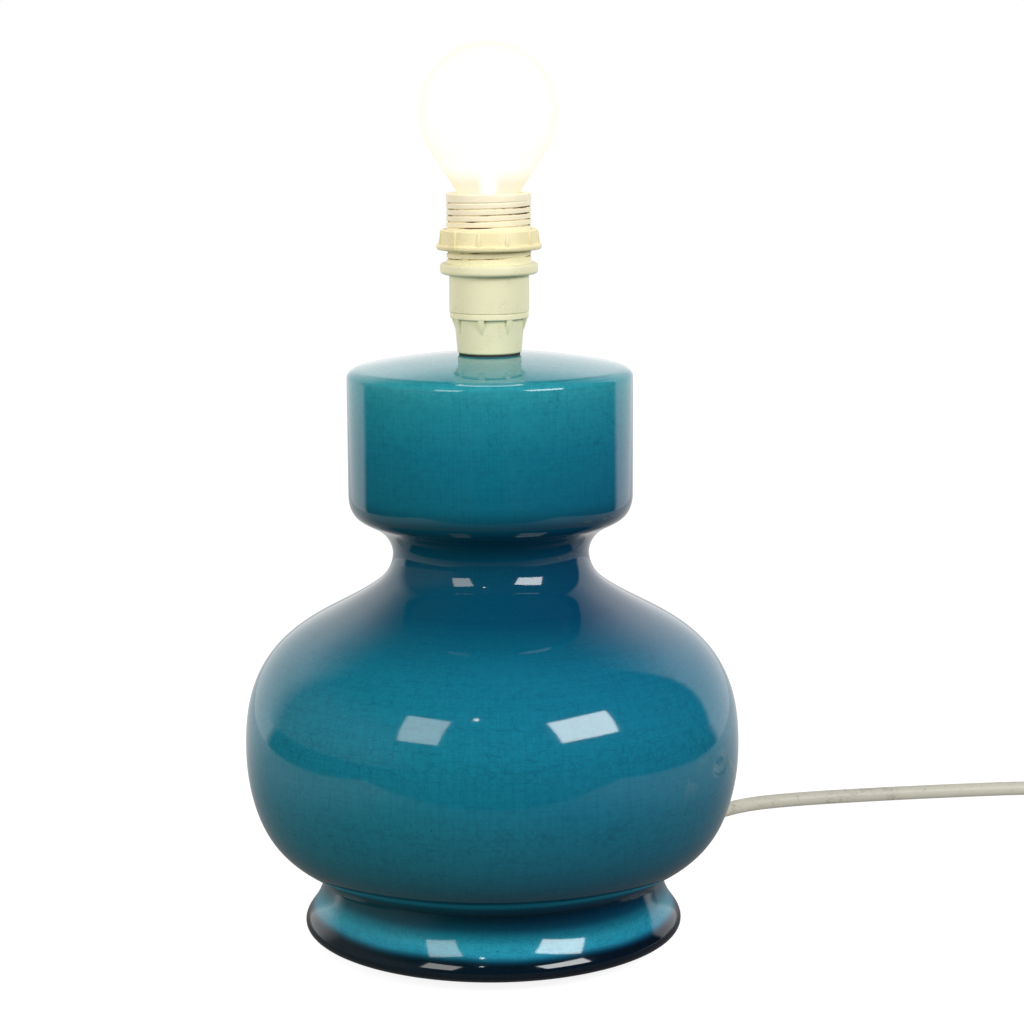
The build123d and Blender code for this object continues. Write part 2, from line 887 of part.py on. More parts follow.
def bulb_insulator():
    """Black glass foot of the cap, between the tip contact and the screw shell."""
    low = tip_z + tip_h
    return turned((0, low), (tip_r, low), (insulator_r, low + insulator_h), (0, low + insulator_h))


def bulb_tip():
    top = tip_z + tip_h
    return turned((0, tip_z), (tip_r / 2, tip_z), (tip_r, tip_z + tip_h / 2), (tip_r, top), (0, top))


def lead_path(side):
    stem_top = bulb_foot_z + stem_flare_t + stem_tube_h
    points = [
        (side * lead_in, 0, tip_z + lead_bottom),
        (side * lead_in, 0, stem_top),
        (side * lead_spread, 0, tip_z + lead_top),
    ]
    return FilletPolyline(*points, radius=bulb_neck_r)


def bulb_stem():
    """Glass mount that carries the leads: a flare in the neck and a pinched tube."""
    low = bulb_foot_z
    solid = turned(
        (0, low),
        (stem_flare_r, low),
        (stem_flare_r, low + stem_flare_t),
        (stem_tube_r, low + stem_flare_t + stem_flare_rise),
        (stem_tube_r, low + stem_flare_t + stem_tube_h),
        (0, low + stem_flare_t + stem_tube_h),
    )
    for side in (-1, 1):
        solid -= tube(lead_path(side), lead_r + lead_fit)
    return solid


def bulb_filament():
    """Filament that sags upwards between the tops of the two leads."""
    z = tip_z + lead_top + filament_r + lead_fit
    ends = [Vector(side * lead_spread, 0, z) for side in (-1, 1)]
    return tube(ThreePointArc(ends[0], Vector(0, 0, z + filament_sag), ends[1]), filament_r)


# Free cord, coil, switch and plug


def coil_edges():
    """Half turns that spiral in, climb a layer where they reverse, and spiral out again."""
    step = (cord_d + coil_gap) / 2
    low = cord_r + floor_gap
    high = low + cord_d + coil_gap
    outer_r = coil_inner_r + step * coil_half_turns_in
    y = outer_r
    edges = [Line((-cord_d, y, low), (0, y, low))]

    def half_turn(y, radius, z, side):
        return ThreePointArc((0, y, z), (side * radius, y - side * radius, z), (0, y - 2 * side * radius, z))

    side = 1
    for number in range(coil_half_turns_in):
        radius = outer_r - step * number
        edges.append(half_turn(y, radius, low, side))
        y -= 2 * side * radius
        side = -side
    start, end = Vector(0, y, low), Vector(0, y - 2 * side * coil_inner_r, high)
    reach = (end - start).length / 2
    middle = (start + end) * 0.5 + Vector(side * reach, 0, 0)
    edges.append(Edge.make_tangent_arc(start, Vector(side, 0, 0), middle))
    edges.append(Edge.make_tangent_arc(middle, end - start, end))
    y = end.Y
    side = -side
    for number in range(coil_half_turns_out):
        radius = coil_inner_r + step * (number + 1)
        edges.append(half_turn(y, radius, high, side))
        y -= 2 * side * radius
        side = -side
    edges.append(Line((0, y, high), (cord_d, y, high)))
    return edges


def coil_path():
    return Pos(*coil_place, 0) * Wire(coil_edges())


def least_self_gap(path):
    """Least gap between turns, measured on points a half diameter apart."""
    count = int(path.length / (cord_d / 2))
    points = [path @ (number / count) for number in range(count + 1)]
    least = path.length
    for number, point in enumerate(points):
        for other in points[number + coil_skip_points :]:
            least = min(least, (other - point).length)
    return least - cord_d


def on_switch(solid):
    return Pos(*switch_place, 0) * solid


def switch_outline(inset):
    """Plan of the switch, narrower at the two ends that the cord enters."""
    end_y = switch_length / 2 - inset
    side_x = switch_w / 2 - inset
    end_x = switch_end_w / 2 - inset
    shoulder_y = switch_length * switch_shoulder_share
    right = [(end_x, end_y), (side_x, shoulder_y), (side_x, -shoulder_y), (end_x, -end_y)]
    left = [(-x, y) for x, y in reversed(right)]
    return make_face(FilletPolyline(*right, *left, radius=switch_corner_r - inset, close=True))


def screw_places():
    return [(switch_screw_x, switch_screw_y), (-switch_screw_x, -switch_screw_y)]


def switch_base():
    solid = extrude(switch_outline(0), switch_base_h)
    solid = chamfer(solid.edges().group_by(Axis.Z)[0], switch_seam * 2)
    solid -= Pos(0, 0, switch_wall) * extrude(switch_outline(switch_wall), switch_base_h)
    for x, y in screw_places():
        place = Pos(x, y, 0)
        solid += place * post(switch_boss_r, switch_wall, switch_base_h)
        solid -= place * post(switch_screw_r + pivot_fit, -overrun, switch_base_h + overrun)
        recess = switch_screw_recess + switch_screw_head_t
        solid -= place * post(switch_screw_head_r + pivot_fit, -overrun, recess)
    return on_switch(solid)


def switch_cover():
    top = switch_base_h + switch_cover_h
    solid = Pos(0, 0, switch_base_h) * extrude(switch_outline(0), switch_cover_h)
    solid = fillet(solid.edges().group_by(Axis.Z)[-1], switch_edge_r)
    solid -= Pos(0, 0, switch_base_h) * extrude(switch_outline(switch_wall), switch_cover_h - switch_wall)
    inner_x, outer_x = window_w / 2, window_w / 2 + ear_t
    ear_low, ear_top = pivot_z - ear_w * ear_below_share, top - switch_wall * ear_into_top_share
    ear = brick((inner_x, -ear_w / 2, ear_low), (outer_x, ear_w / 2, ear_top))
    solid += ear + Rot(0, 0, 180) * ear
    for x, y in screw_places():
        solid += Pos(x, y, 0) * post(switch_boss_r, switch_base_h, ear_top)
        solid -= Pos(x, y, 0) * post(switch_screw_r + pivot_fit, switch_base_h - overrun, top - switch_wall)
    window = (window_w / 2, window_length / 2)
    solid -= brick((-window[0], -window[1], switch_base_h - overrun), (window[0], window[1], top + overrun))
    solid -= bar(pivot_r + pivot_fit, -outer_x - overrun, outer_x + overrun, 0, pivot_z)
    return on_switch(solid)


def switch_rocker():
    """Two-way rocker on stub pivots, resting with its far end up."""
    half = rocker_length / 2
    outline = Polyline(
        Vector(0, -half, 0),
        Vector(0, -half, rocker_end_h),
        Vector(0, 0, rocker_mid_h),
        Vector(0, half, rocker_end_h),
        Vector(0, half, 0),
        Vector(0, rocker_foot_length / 2, -rocker_foot_h),
        Vector(0, -rocker_foot_length / 2, -rocker_foot_h),
        close=True,
    )
    solid = extrude(make_face(outline), rocker_w / 2, both=True)
    reach = rocker_w / 2 + pivot_out
    solid += bar(pivot_r, -reach, reach, 0, 0)
    return on_switch(Pos(0, 0, pivot_z) * Rot(rocker_rest_deg, 0, 0) * solid)


def switch_contact(side):
    """Bent brass strip on the floor of the switch."""
    half = strip_w / 2
    near, far = strip_place, strip_place + strip_length
    floor_z = switch_wall
    strip = brick((-half, near, floor_z), (half, far, floor_z + strip_t))
    strip += brick((-half, near, floor_z), (half, near + strip_t, floor_z + strip_tab_h))
    return on_switch(strip if side > 0 else Rot(0, 0, 180) * strip)


def switch_screw(x, y):
    low = switch_screw_recess
    head_top = low + switch_screw_head_t
    tip = switch_base_h + switch_cover_h - switch_wall - switch_screw_recess
    screw = post(switch_screw_head_r, low, head_top) + post(switch_screw_r, low, tip)
    reach = switch_screw_head_r
    slot = brick((-reach, -screw_slot, low - overrun), (reach, screw_slot, low + screw_slot))
    return on_switch(Pos(x, y, 0) * (screw - slot))


def plug_plane():
    """Plane at the end of the plug's sleeve, facing along the pins."""
    return Plane(origin=(*plug_place, plug_t / 2), x_dir=(0, 1, 0), z_dir=(-1, 0, 0))


def plug_body():
    """Flat moulded body with a ringed tapered sleeve and the insulated roots of the pins."""
    back_z = plug_relief_length
    face_z = back_z + plug_length
    back_x, face_x = plug_back_w / 2, plug_face_w / 2
    right = [(back_x, back_z), (face_x, face_z - plug_face_run), (face_x, face_z)]
    left = [(-x, z) for x, z in reversed(right)]
    outline = [Vector(x, 0, z) for x, z in right + left]
    solid = extrude(make_face(Polyline(*outline, close=True)), plug_t / 2, both=True)
    long_edges = solid.edges().filter_by(lambda edge: edge.center().Z < face_z - plug_edge_r)
    solid = fillet(long_edges, plug_edge_r)
    sleeve = turned(
        (0, 0),
        (plug_relief_tip_r, 0, plug_relief_groove / 2),
        (plug_relief_root_r, back_z),
        (plug_relief_root_r, back_z + overrun),
        (0, back_z + overrun),
    )
    spacing = plug_relief_length / (plug_relief_rings + 1)
    groove_r = plug_relief_tip_r - plug_relief_groove / 2
    for number in range(plug_relief_rings):
        z = spacing * (number + 1)
        sleeve -= ring(groove_r, plug_relief_root_r * 2, z, z + plug_relief_groove)
    solid += sleeve
    for side in (-1, 1):
        place = Pos(side * pin_pitch / 2, 0, 0)
        solid += place * post(pin_sleeve_r, face_z, face_z + pin_sleeve_length)
        solid -= place * post(pin_core_r + pin_fit, face_z - pin_root, face_z + pin_sleeve_length + overrun)
    return plug_plane().location * solid


def plug_pin(side):
    face_z = plug_relief_length + plug_length
    sleeve_top = face_z + pin_sleeve_length
    end = face_z + pin_length
    pin = turned(
        (0, face_z - pin_root),
        (pin_core_r, face_z - pin_root),
        (pin_core_r, sleeve_top),
        (pin_r, sleeve_top),
        (pin_r, end, pin_nose_r),
        (0, end),
    )
    return plug_plane().location * (Pos(side * pin_pitch / 2, 0, 0) * pin)


def supply_ends():
    """Where the free cord starts and ends at the coil, the switch and the plug."""
    path = coil_path()
    half = switch_length / 2
    x, y = switch_place
    switch_in = Vector(x, y + half, switch_base_h)
    switch_out = Vector(x, y - half, switch_base_h)
    return path @ 0, path @ 1, switch_in, switch_out, Vector(*plug_place, plug_t / 2)


def write(name, *solids):
    shape = solids[0] if len(solids) == 1 else Compound(children=list(solids))
    export_step(shape, f"parts/{name}.step")


def main():
    os.makedirs("parts", exist_ok=True)
    coil_in, coil_out, switch_in, switch_out, plug_in = supply_ends()
    body, drum = ceramic_parts()
    write("ceramic_body", body)
    write("ceramic_drum", drum)
    write("cord_grommet", cord_grommet())
    write("inner_cord", inner_cord())
    write("live_core", core(1))
    write("neutral_core", core(-1))
    write("threaded_stem", threaded_stem())
    write("seat_washer", ring(stem_r + thread_fit, seat_washer_r, seat_z, cap_z))
    write("soft_washer", ring(stem_r + thread_fit, soft_washer_r, soft_washer_z, roof_z))
    write("steel_washer", ring(stem_r + thread_fit, steel_washer_r, steel_washer_z, soft_washer_z))
    write("lock_nut", lock_nut())
    write("holder_cap", holder_cap())
    write("cap_grub_screw", cap_grub_screw())
    write("holder_barrel", holder_barrel())
    write("shade_ring", shade_ring())
    write("contact_insert", contact_insert())
    write("screw_shell", screw_shell())
    write("centre_contact", centre_contact())
    write("live_terminal", terminal(1, live_rivet_x, insert_top_z))
    write("neutral_terminal", terminal(-1, neutral_rivet_x, insert_top_z))
    write("terminal_screws", terminal_screw(), Rot(0, 0, 180) * terminal_screw())
    write("bulb_glass", bulb_glass())
    write("bulb_cap_shell", bulb_cap_shell())
    write("bulb_insulator", bulb_insulator())
    write("bulb_tip", bulb_tip())
    write("bulb_stem", bulb_stem())
    write("bulb_leads", *[tube(lead_path(side), lead_r) for side in (-1, 1)])
    write("bulb_filament", bulb_filament())
    write("supply_cord", free_cord("supply_cord", [sleeve_end(), landing(), *lamp_route, coil_in]))
    path = coil_path()
    coil = tube(path, cord_r)
    write("cord_coil", coil)
    write("switch_cord", free_cord("switch_cord", [coil_out, *coil_route, switch_in]))
    write("plug_cord", free_cord("plug_cord", [switch_out, *plug_route, plug_in]))
    write("switch_base", switch_base())
    write("switch_cover", switch_cover())
    write("switch_rocker", switch_rocker())
    write("switch_contacts", switch_contact(1), switch_contact(-1))
    write("switch_screws", *[switch_screw(x, y) for x, y in screw_places()])
    write("plug_body", plug_body())
    write("plug_pins", plug_pin(1), plug_pin(-1))
    print("cord_coil length", round(path.length, 1), "least gap", round(least_self_gap(path), 2))
    print("coil volume share", round(coil.volume / (math.pi * cord_r**2 * path.length), 4))
    print("cord leaves at", sleeve_end(), "lands at", landing())
    print("holder mouth at", round(mouth_z, 2), "bulb top at", round(ball_z + bulb_ball_r, 2))


main()
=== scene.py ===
import math

import bmesh
import bpy
import numpy as np
from mathutils import Matrix, Vector, noise


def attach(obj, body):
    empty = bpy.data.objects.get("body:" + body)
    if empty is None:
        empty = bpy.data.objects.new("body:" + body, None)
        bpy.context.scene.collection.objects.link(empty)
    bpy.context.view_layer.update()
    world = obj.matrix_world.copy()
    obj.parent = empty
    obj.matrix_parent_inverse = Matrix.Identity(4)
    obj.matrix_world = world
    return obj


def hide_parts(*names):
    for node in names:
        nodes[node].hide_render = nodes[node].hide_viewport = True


# Ceramic table lamp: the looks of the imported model. Sizes are millimetres, as in the part's source,
# and become metres where a mesh or a curve is made. The front is the side of -Y.
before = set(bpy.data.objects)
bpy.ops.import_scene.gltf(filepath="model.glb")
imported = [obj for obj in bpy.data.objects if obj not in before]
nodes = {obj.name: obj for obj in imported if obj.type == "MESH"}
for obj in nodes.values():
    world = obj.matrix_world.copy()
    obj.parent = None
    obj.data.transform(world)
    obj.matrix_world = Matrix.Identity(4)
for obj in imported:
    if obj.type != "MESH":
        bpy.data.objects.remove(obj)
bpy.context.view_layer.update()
MM = 0.001

# Sizes of the ceramic body's outline, as the part has them
contact_r, contact_width = 47.0, 4.0
lip, foot_wall, crease = (63.4, 7.1), (56.85, 21.0), (56.1, 24.0)
belly, neck, drum_foot = (82.3, 67.0), (32.6, 132.0), (47.0, 152.0)
drum_top_z, rim_width, dome_top_z, dome_rise = 190.6, 3.8, 197.92, 5.3
ceramic_wall, drum_roof, seat_r, stem_hole_r = 6.0, 7.0, 10.7, 5.4
roof_corner, roof_corner_cut = 4.0, 1.2
corner_share, inner_foot_share = 0.45, 0.6
sole_shares, sole_lean = [(0.515, 0.360)], 0.15
foot_shares = [(0.107, 0.158), (0.282, 0.277), (0.580, 0.496), (0.817, 0.748)]
lower_shares = [(0.217, 0.070), (0.465, 0.162), (0.722, 0.326), (0.908, 0.581)]
upper_shares = [
    (0.026, 0.231),
    (0.097, 0.385),
    (0.210, 0.508),
    (0.412, 0.631),
    (0.630, 0.723),
    (0.836, 0.815),
    (0.952, 0.892),
]
drum_shares = [(0.157, 0.30), (0.521, 0.50), (0.856, 0.65), (0.968, 0.80)]
exit_share, exit_turn = 0.386, math.radians(60)
exit_hole_r, exit_spot_r, exit_spot_depth, exit_cut, overrun = 4.6, 7.6, 1.2, 12.0, 3.0

# Unevenness of the thrown body, and how finely the turned pieces are made
wobble_scale, wobble, wobble_low_z, wobble_seat_gap = 22, 0.16, 2.0, 0.5
wall_step, sole_step, rim_step, foot_step, inner_step, exit_step = 1.4, 0.8, 0.6, 0.5, 3.0, 0.1
drum_points, dome_points, inner_every = 24, 20, 4
body_segments, piece_segments, hole_segments = 256, 128, 48

# Distances under which points become one, in metres: on a turned piece's seam, and where pieces meet
seam_gap, weld_gap = 1e-7, 2e-6

# Sizes of the lampholder and the bulb
cap_z, split_z, flange_z, barrel_z, mouth_z = 198.246, 211.646, 223.946, 227.546, 250.146
cap_bottom_r, cap_shoulder_r, cap_band_r, cap_band_h = 10.5, 11.4, 12.85, 2.0
spigot_r, spigot_bore_r, spigot_h, stem_r, cap_floor = 10.0, 8.7, 4.0, 5.1, 5.9
holder_r, flange_r, barrel_r, holder_bore_r, ledge_h = 13.05, 16.0, 13.8, 11.2, 1.5
thread_pitch, thread_depth, thread_land, thread_foot = 2.0, 0.6, 2.2, 0.4
thread_rows = 20
ring_z, ring_h, ring_bore_r, ring_flange_r, ring_flange_t = 231.946, 6.6, 13.95, 17.2, 1.8
ring_cone_base_r, ring_cone_top_r = 16.2, 15.9
bulb_ball_r, bulb_ball_z, bulb_cone, bulb_neck_r = 22.6, 276.146, math.radians(33), 7.4
bulb_bend_r, bulb_foot_z, glass_t, glow_gap = 8.0, 237.946, 0.8, 0.4
ball_points, bend_steps = 48, 8

# Roundings of the holder and the ring
cap_foot_edge, cap_edge, split_edge, mouth_edge = 0.8, 0.3, 0.35, 0.45
flange_root_edge, flange_low_edge, flange_high_edge, barrel_root_edge = 0.45, 1.1, 0.9, 0.2
ring_bore_edge, ring_flange_edge, ring_root_edge, ring_top_edge = 0.2, 0.7, 0.3, 0.8
rib_edge, spigot_gap = 0.16, 0.1

# Ribs of the cap and grips of the ring: count, turn, height, reach and half widths
cap_rib_count, cap_rib_turn, cap_rib_h, cap_rib_tip_r = 8, math.radians(-58), 5.0, 11.05
cap_rib_sunk, cap_rib_back, cap_rib_tip_half, cap_rib_band_half = 0.2, 0.12, 0.2, 1.12
grip_count, grip_turn, grip_top_gap, grip_root = 11, math.radians(-101.2), 0.2, 0.7
grip_low_out, grip_high_out, grip_low_half, grip_high_half = 0.7, 0.15, 0.85, 0.35

# The cord's route, as the part has it
cord_d = 5.4
lamp_route = [
    (45.2122, 78.3099, 21.4075),
    (56.4408, 97.7583, 2.75),
    (75.0, 122.5, 2.75),
    (95.0, 146.5, 2.75),
    (118.0, 155.0, 2.75),
    (149.0, 161.0, 2.75),
    (182.0, 166.0, 2.75),
    (217.0, 170.0, 2.75),
]
switch_route = [
    (289.0, 164.1, 8.65),
    (313.0, 160.0, 2.75),
    (328.5, 142.0, 2.75),
    (333.0, 121.0, 7.0),
    (333.0, 104.0, 7.0),
]
plug_route = [
    (333.0, 44.0, 7.0),
    (333.0, 28.0, 7.0),
    (325.5, 8.0, 2.75),
    (308.0, -3.0, 2.75),
    (288.5, -6.5, 6.85),
    (272.0, -6.5, 6.85),
]
coil_place, coil_inner_r, coil_step = (259.0, 127.85), 21.5, 2.95
coil_low, coil_high, coil_turn_points = 2.75, 8.65, 24
coil_halves_in, coil_halves_out = 8, 6
coil_last_in = coil_halves_in - 1
coil_outer_r = coil_inner_r + coil_step * coil_last_in

# Studio, in metres: the white table, whose front edge lies before the lamp, and the camera
floor_half, table_front, table_half = 4.0, -0.305, 0.45
front_blur, side_blur = 0.004, 0.01
camera_place, camera_pitch, camera_roll = (0, -0.880, 0.294), math.radians(80.4), math.radians(-0.388)
camera_lens, camera_sensor, camera_shift, camera_near, camera_far = 94.92, 36, 0.0208, 0.05, 30


# Shader and geometry trees

def add(tree, kind, inputs=None, **settings):
    """Node of a kind, with its settings, its sockets' values, and what feeds them."""
    made = tree.nodes.new(kind)
    for name, value in settings.items():
        setattr(made, name, value)
    for key, value in (inputs or {}).items():
        if isinstance(value, bpy.types.NodeSocket):
            tree.links.new(value, made.inputs[key])
        else:
            made.inputs[key].default_value = value
    return made


def maths(tree, operation, first, second=0.0, third=0.0, clamp=False):
    """Result of an operation, by its name, on up to three values."""
    values = {0: first, 1: second, 2: third}
    return add(tree, "ShaderNodeMath", values, operation=operation, use_clamp=clamp).outputs[0]


def blend(tree, share, first, second):
    """Colour between two others."""
    return add(tree, "ShaderNodeMix", {0: share, 6: first, 7: second}, data_type="RGBA").outputs[2]


def blend_value(tree, share, first, second):
    """Value between two others."""
    return add(tree, "ShaderNodeMix", {0: share, 2: first, 3: second}).outputs[0]


def span(tree, value, low, high, start=0.0, end=1.0, smooth=True):
    """Value carried from one range to another, and held at its ends."""
    kind = "SMOOTHSTEP" if smooth else "LINEAR"
    values = {"Value": value, "From Min": low, "From Max": high, "To Min": start, "To Max": end}
    return add(tree, "ShaderNodeMapRange", values, interpolation_type=kind).outputs["Result"]


def cloud(tree, place, scale, detail=3.0, roughness=0.5):
    """Soft noise from 0 to 1."""
    values = {"Vector": place, "Scale": scale, "Detail": detail, "Roughness": roughness}
    return add(tree, "ShaderNodeTexNoise", values).outputs["Fac"]


def split(tree, place):
    """X, Y and Z of a place, by name."""
    return add(tree, "ShaderNodeSeparateXYZ", {0: place}).outputs


def squared_reach(tree, apart):
    """Squared distance from the Z axis."""
    return maths(tree, "ADD", maths(tree, "POWER", apart["X"], 2.0), maths(tree, "POWER", apart["Y"], 2.0))


def vector(tree, operation, first, second):
    """Result of an operation, by its name, on two vectors."""
    values = {0: first, 1: second}
    return add(tree, "ShaderNodeVectorMath", values, operation=operation).outputs[0]


def colour(red, green, blue):
    """Linear colour from the eye's own 0 to 255 scale."""
    def straight(value):
        share = value / 255
        return share / 12.92 if share <= 0.04045 else ((share + 0.055) / 1.055) ** 2.4

    return (straight(red), straight(green), straight(blue), 1.0)


black, white = (0, 0, 0, 1), (1, 1, 1, 1)


def group(name, inputs, outputs, kind="ShaderNodeTree"):
    """Empty node group with its named sockets: (name, type, value) in, (name, type) out."""
    tree = bpy.data.node_groups.new(name, kind)
    for label, sort, value in inputs:
        socket = tree.interface.new_socket(name=label, in_out="INPUT", socket_type="NodeSocket" + sort)
        if value is not None:
            socket.default_value = value
    for label, sort in outputs:
        tree.interface.new_socket(name=label, in_out="OUTPUT", socket_type="NodeSocket" + sort)
    return tree, tree.nodes.new("NodeGroupInput").outputs, tree.nodes.new("NodeGroupOutput").inputs


def use(tree, shared, inputs):
    """Outputs of a shared group, placed in a material with its own values."""
    return add(tree, "ShaderNodeGroup", inputs, node_tree=shared).outputs


def object_place(tree):
    """Place on the piece, in metres."""
    return add(tree, "ShaderNodeTexCoord").outputs["Object"]


def aged_tone():
    """Colour with soft patches and faint dirt, and a roughness that follows them."""
    tree, given, out = group(
        "aged_tone",
        [
            ("Colour", "Color", (0.8, 0.8, 0.8, 1)),
            ("Dirt", "Color", (0.1, 0.08, 0.05, 1)),
            ("Scale", "Float", 60.0),
            ("Patches", "Float", 0.2),
            ("Dirt share", "Float", 0.2),
            ("Roughness", "Float", 0.5),
        ],
        [("Colour", "Color"), ("Roughness", "Float"), ("Height", "Float")],
    )
    place = object_place(tree)
    wide = cloud(tree, place, given["Scale"], 4.0, 0.55)
    fine = cloud(tree, place, maths(tree, "MULTIPLY", given["Scale"], 9.0), 3.0, 0.6)
    shade = maths(tree, "SUBTRACT", 1.0, maths(tree, "MULTIPLY", wide, given["Patches"]))
    toned = blend(tree, shade, black, given["Colour"])
    spots = span(tree, maths(tree, "MULTIPLY", wide, fine), 0.27, 0.42)
    dirty = blend(tree, maths(tree, "MULTIPLY", spots, given["Dirt share"]), toned, given["Dirt"])
    tree.links.new(dirty, out["Colour"])
    rough = maths(tree, "MULTIPLY_ADD", fine, 0.16, maths(tree, "SUBTRACT", given["Roughness"], 0.08))
    tree.links.new(rough, out["Roughness"])
    tree.links.new(fine, out["Height"])
    return tree


def crackle():
    """Fine crazing in a glaze: nearly level and upright lines that come and go."""
    tree, given, out = group(
        "crackle",
        [
            ("Place", "Vector", None),
            ("Cell", "Float", 100.0),
            ("Width", "Float", 0.03),
            ("Bend", "Float", 0.004),
            ("Order", "Float", 0.5),
            ("Kept", "Float", 0.5),
        ],
        [("Mask", "Float")],
    )
    # The place unrolled about the axis, so that the lines run level and upright all round
    apart = split(tree, given["Place"])
    forward = maths(tree, "MULTIPLY", apart["Y"], -1.0)
    around = maths(tree, "MULTIPLY", maths(tree, "ARCTAN2", apart["X"], forward), 0.065)
    reach = maths(tree, "SQRT", squared_reach(tree, apart))
    unrolled = add(tree, "ShaderNodeCombineXYZ", {0: around, 1: reach, 2: apart["Z"]}).outputs[0]
    warp = add(tree, "ShaderNodeTexNoise", {"Vector": given["Place"], "Scale": 60.0, "Detail": 3.0})
    bent = vector(tree, "SUBTRACT", warp.outputs["Color"], (0.5, 0.5, 0.5))
    values = {0: bent, "Scale": given["Bend"]}
    scaled = add(tree, "ShaderNodeVectorMath", values, operation="SCALE").outputs[0]
    moved = vector(tree, "ADD", unrolled, scaled)
    values = {"Vector": moved, "Scale": given["Cell"], "Randomness": given["Order"]}
    cells = add(tree, "ShaderNodeTexVoronoi", values, feature="DISTANCE_TO_EDGE").outputs
    line = span(tree, cells["Distance"], 0.0, given["Width"], 1.0, 0.0, smooth=False)
    fade = cloud(tree, given["Place"], 120.0, 4.0, 0.65)
    low = maths(tree, "SUBTRACT", 1.0, given["Kept"])
    shown = span(tree, fade, maths(tree, "MULTIPLY", low, 0.75), maths(tree, "ADD", low, 0.12))
    tree.links.new(maths(tree, "MULTIPLY", line, shown), out["Mask"])
    return tree


aged_tone_group, crackle_group = aged_tone(), crackle()


def material(name, roughness=0.5, metallic=0.0, ior=1.5, **sockets):
    """Material with one shader, whose plain values sit on the shader's own sockets."""
    made = bpy.data.materials.new(name)
    made.use_nodes = True
    tree = made.node_tree
    shader = tree.nodes["Principled BSDF"]
    values = {"Roughness": roughness, "Metallic": metallic, "IOR": ior}
    values.update({key.replace("_", " "): value for key, value in sockets.items()})
    for key, value in values.items():
        shader.inputs[key].default_value = value
    return made, tree, shader.inputs


def bump(tree, shader, height, strength, distance):
    """Relief from a height, at a shader's Normal."""
    values = {"Height": height, "Strength": strength, "Distance": distance}
    tree.links.new(add(tree, "ShaderNodeBump", values).outputs[0], shader["Normal"])


def finish_of(name, tone, roughness, metallic, patches, dirt, scale, grain, dirt_tone):
    """Finish of a small part: its tone with patches, dirt and grain."""
    made, tree, shader = material(name, roughness, metallic)
    aged = use(
        tree,
        aged_tone_group,
        {
            "Colour": colour(*tone),
            "Dirt": colour(*dirt_tone),
            "Scale": scale,
            "Patches": patches,
            "Dirt share": dirt,
            "Roughness": roughness,
        },
    )
    tree.links.new(aged["Colour"], shader["Base Color"])
    tree.links.new(aged["Roughness"], shader["Roughness"])
    if grain:
        bump(tree, shader, aged["Height"], grain, 0.0004)
    return made


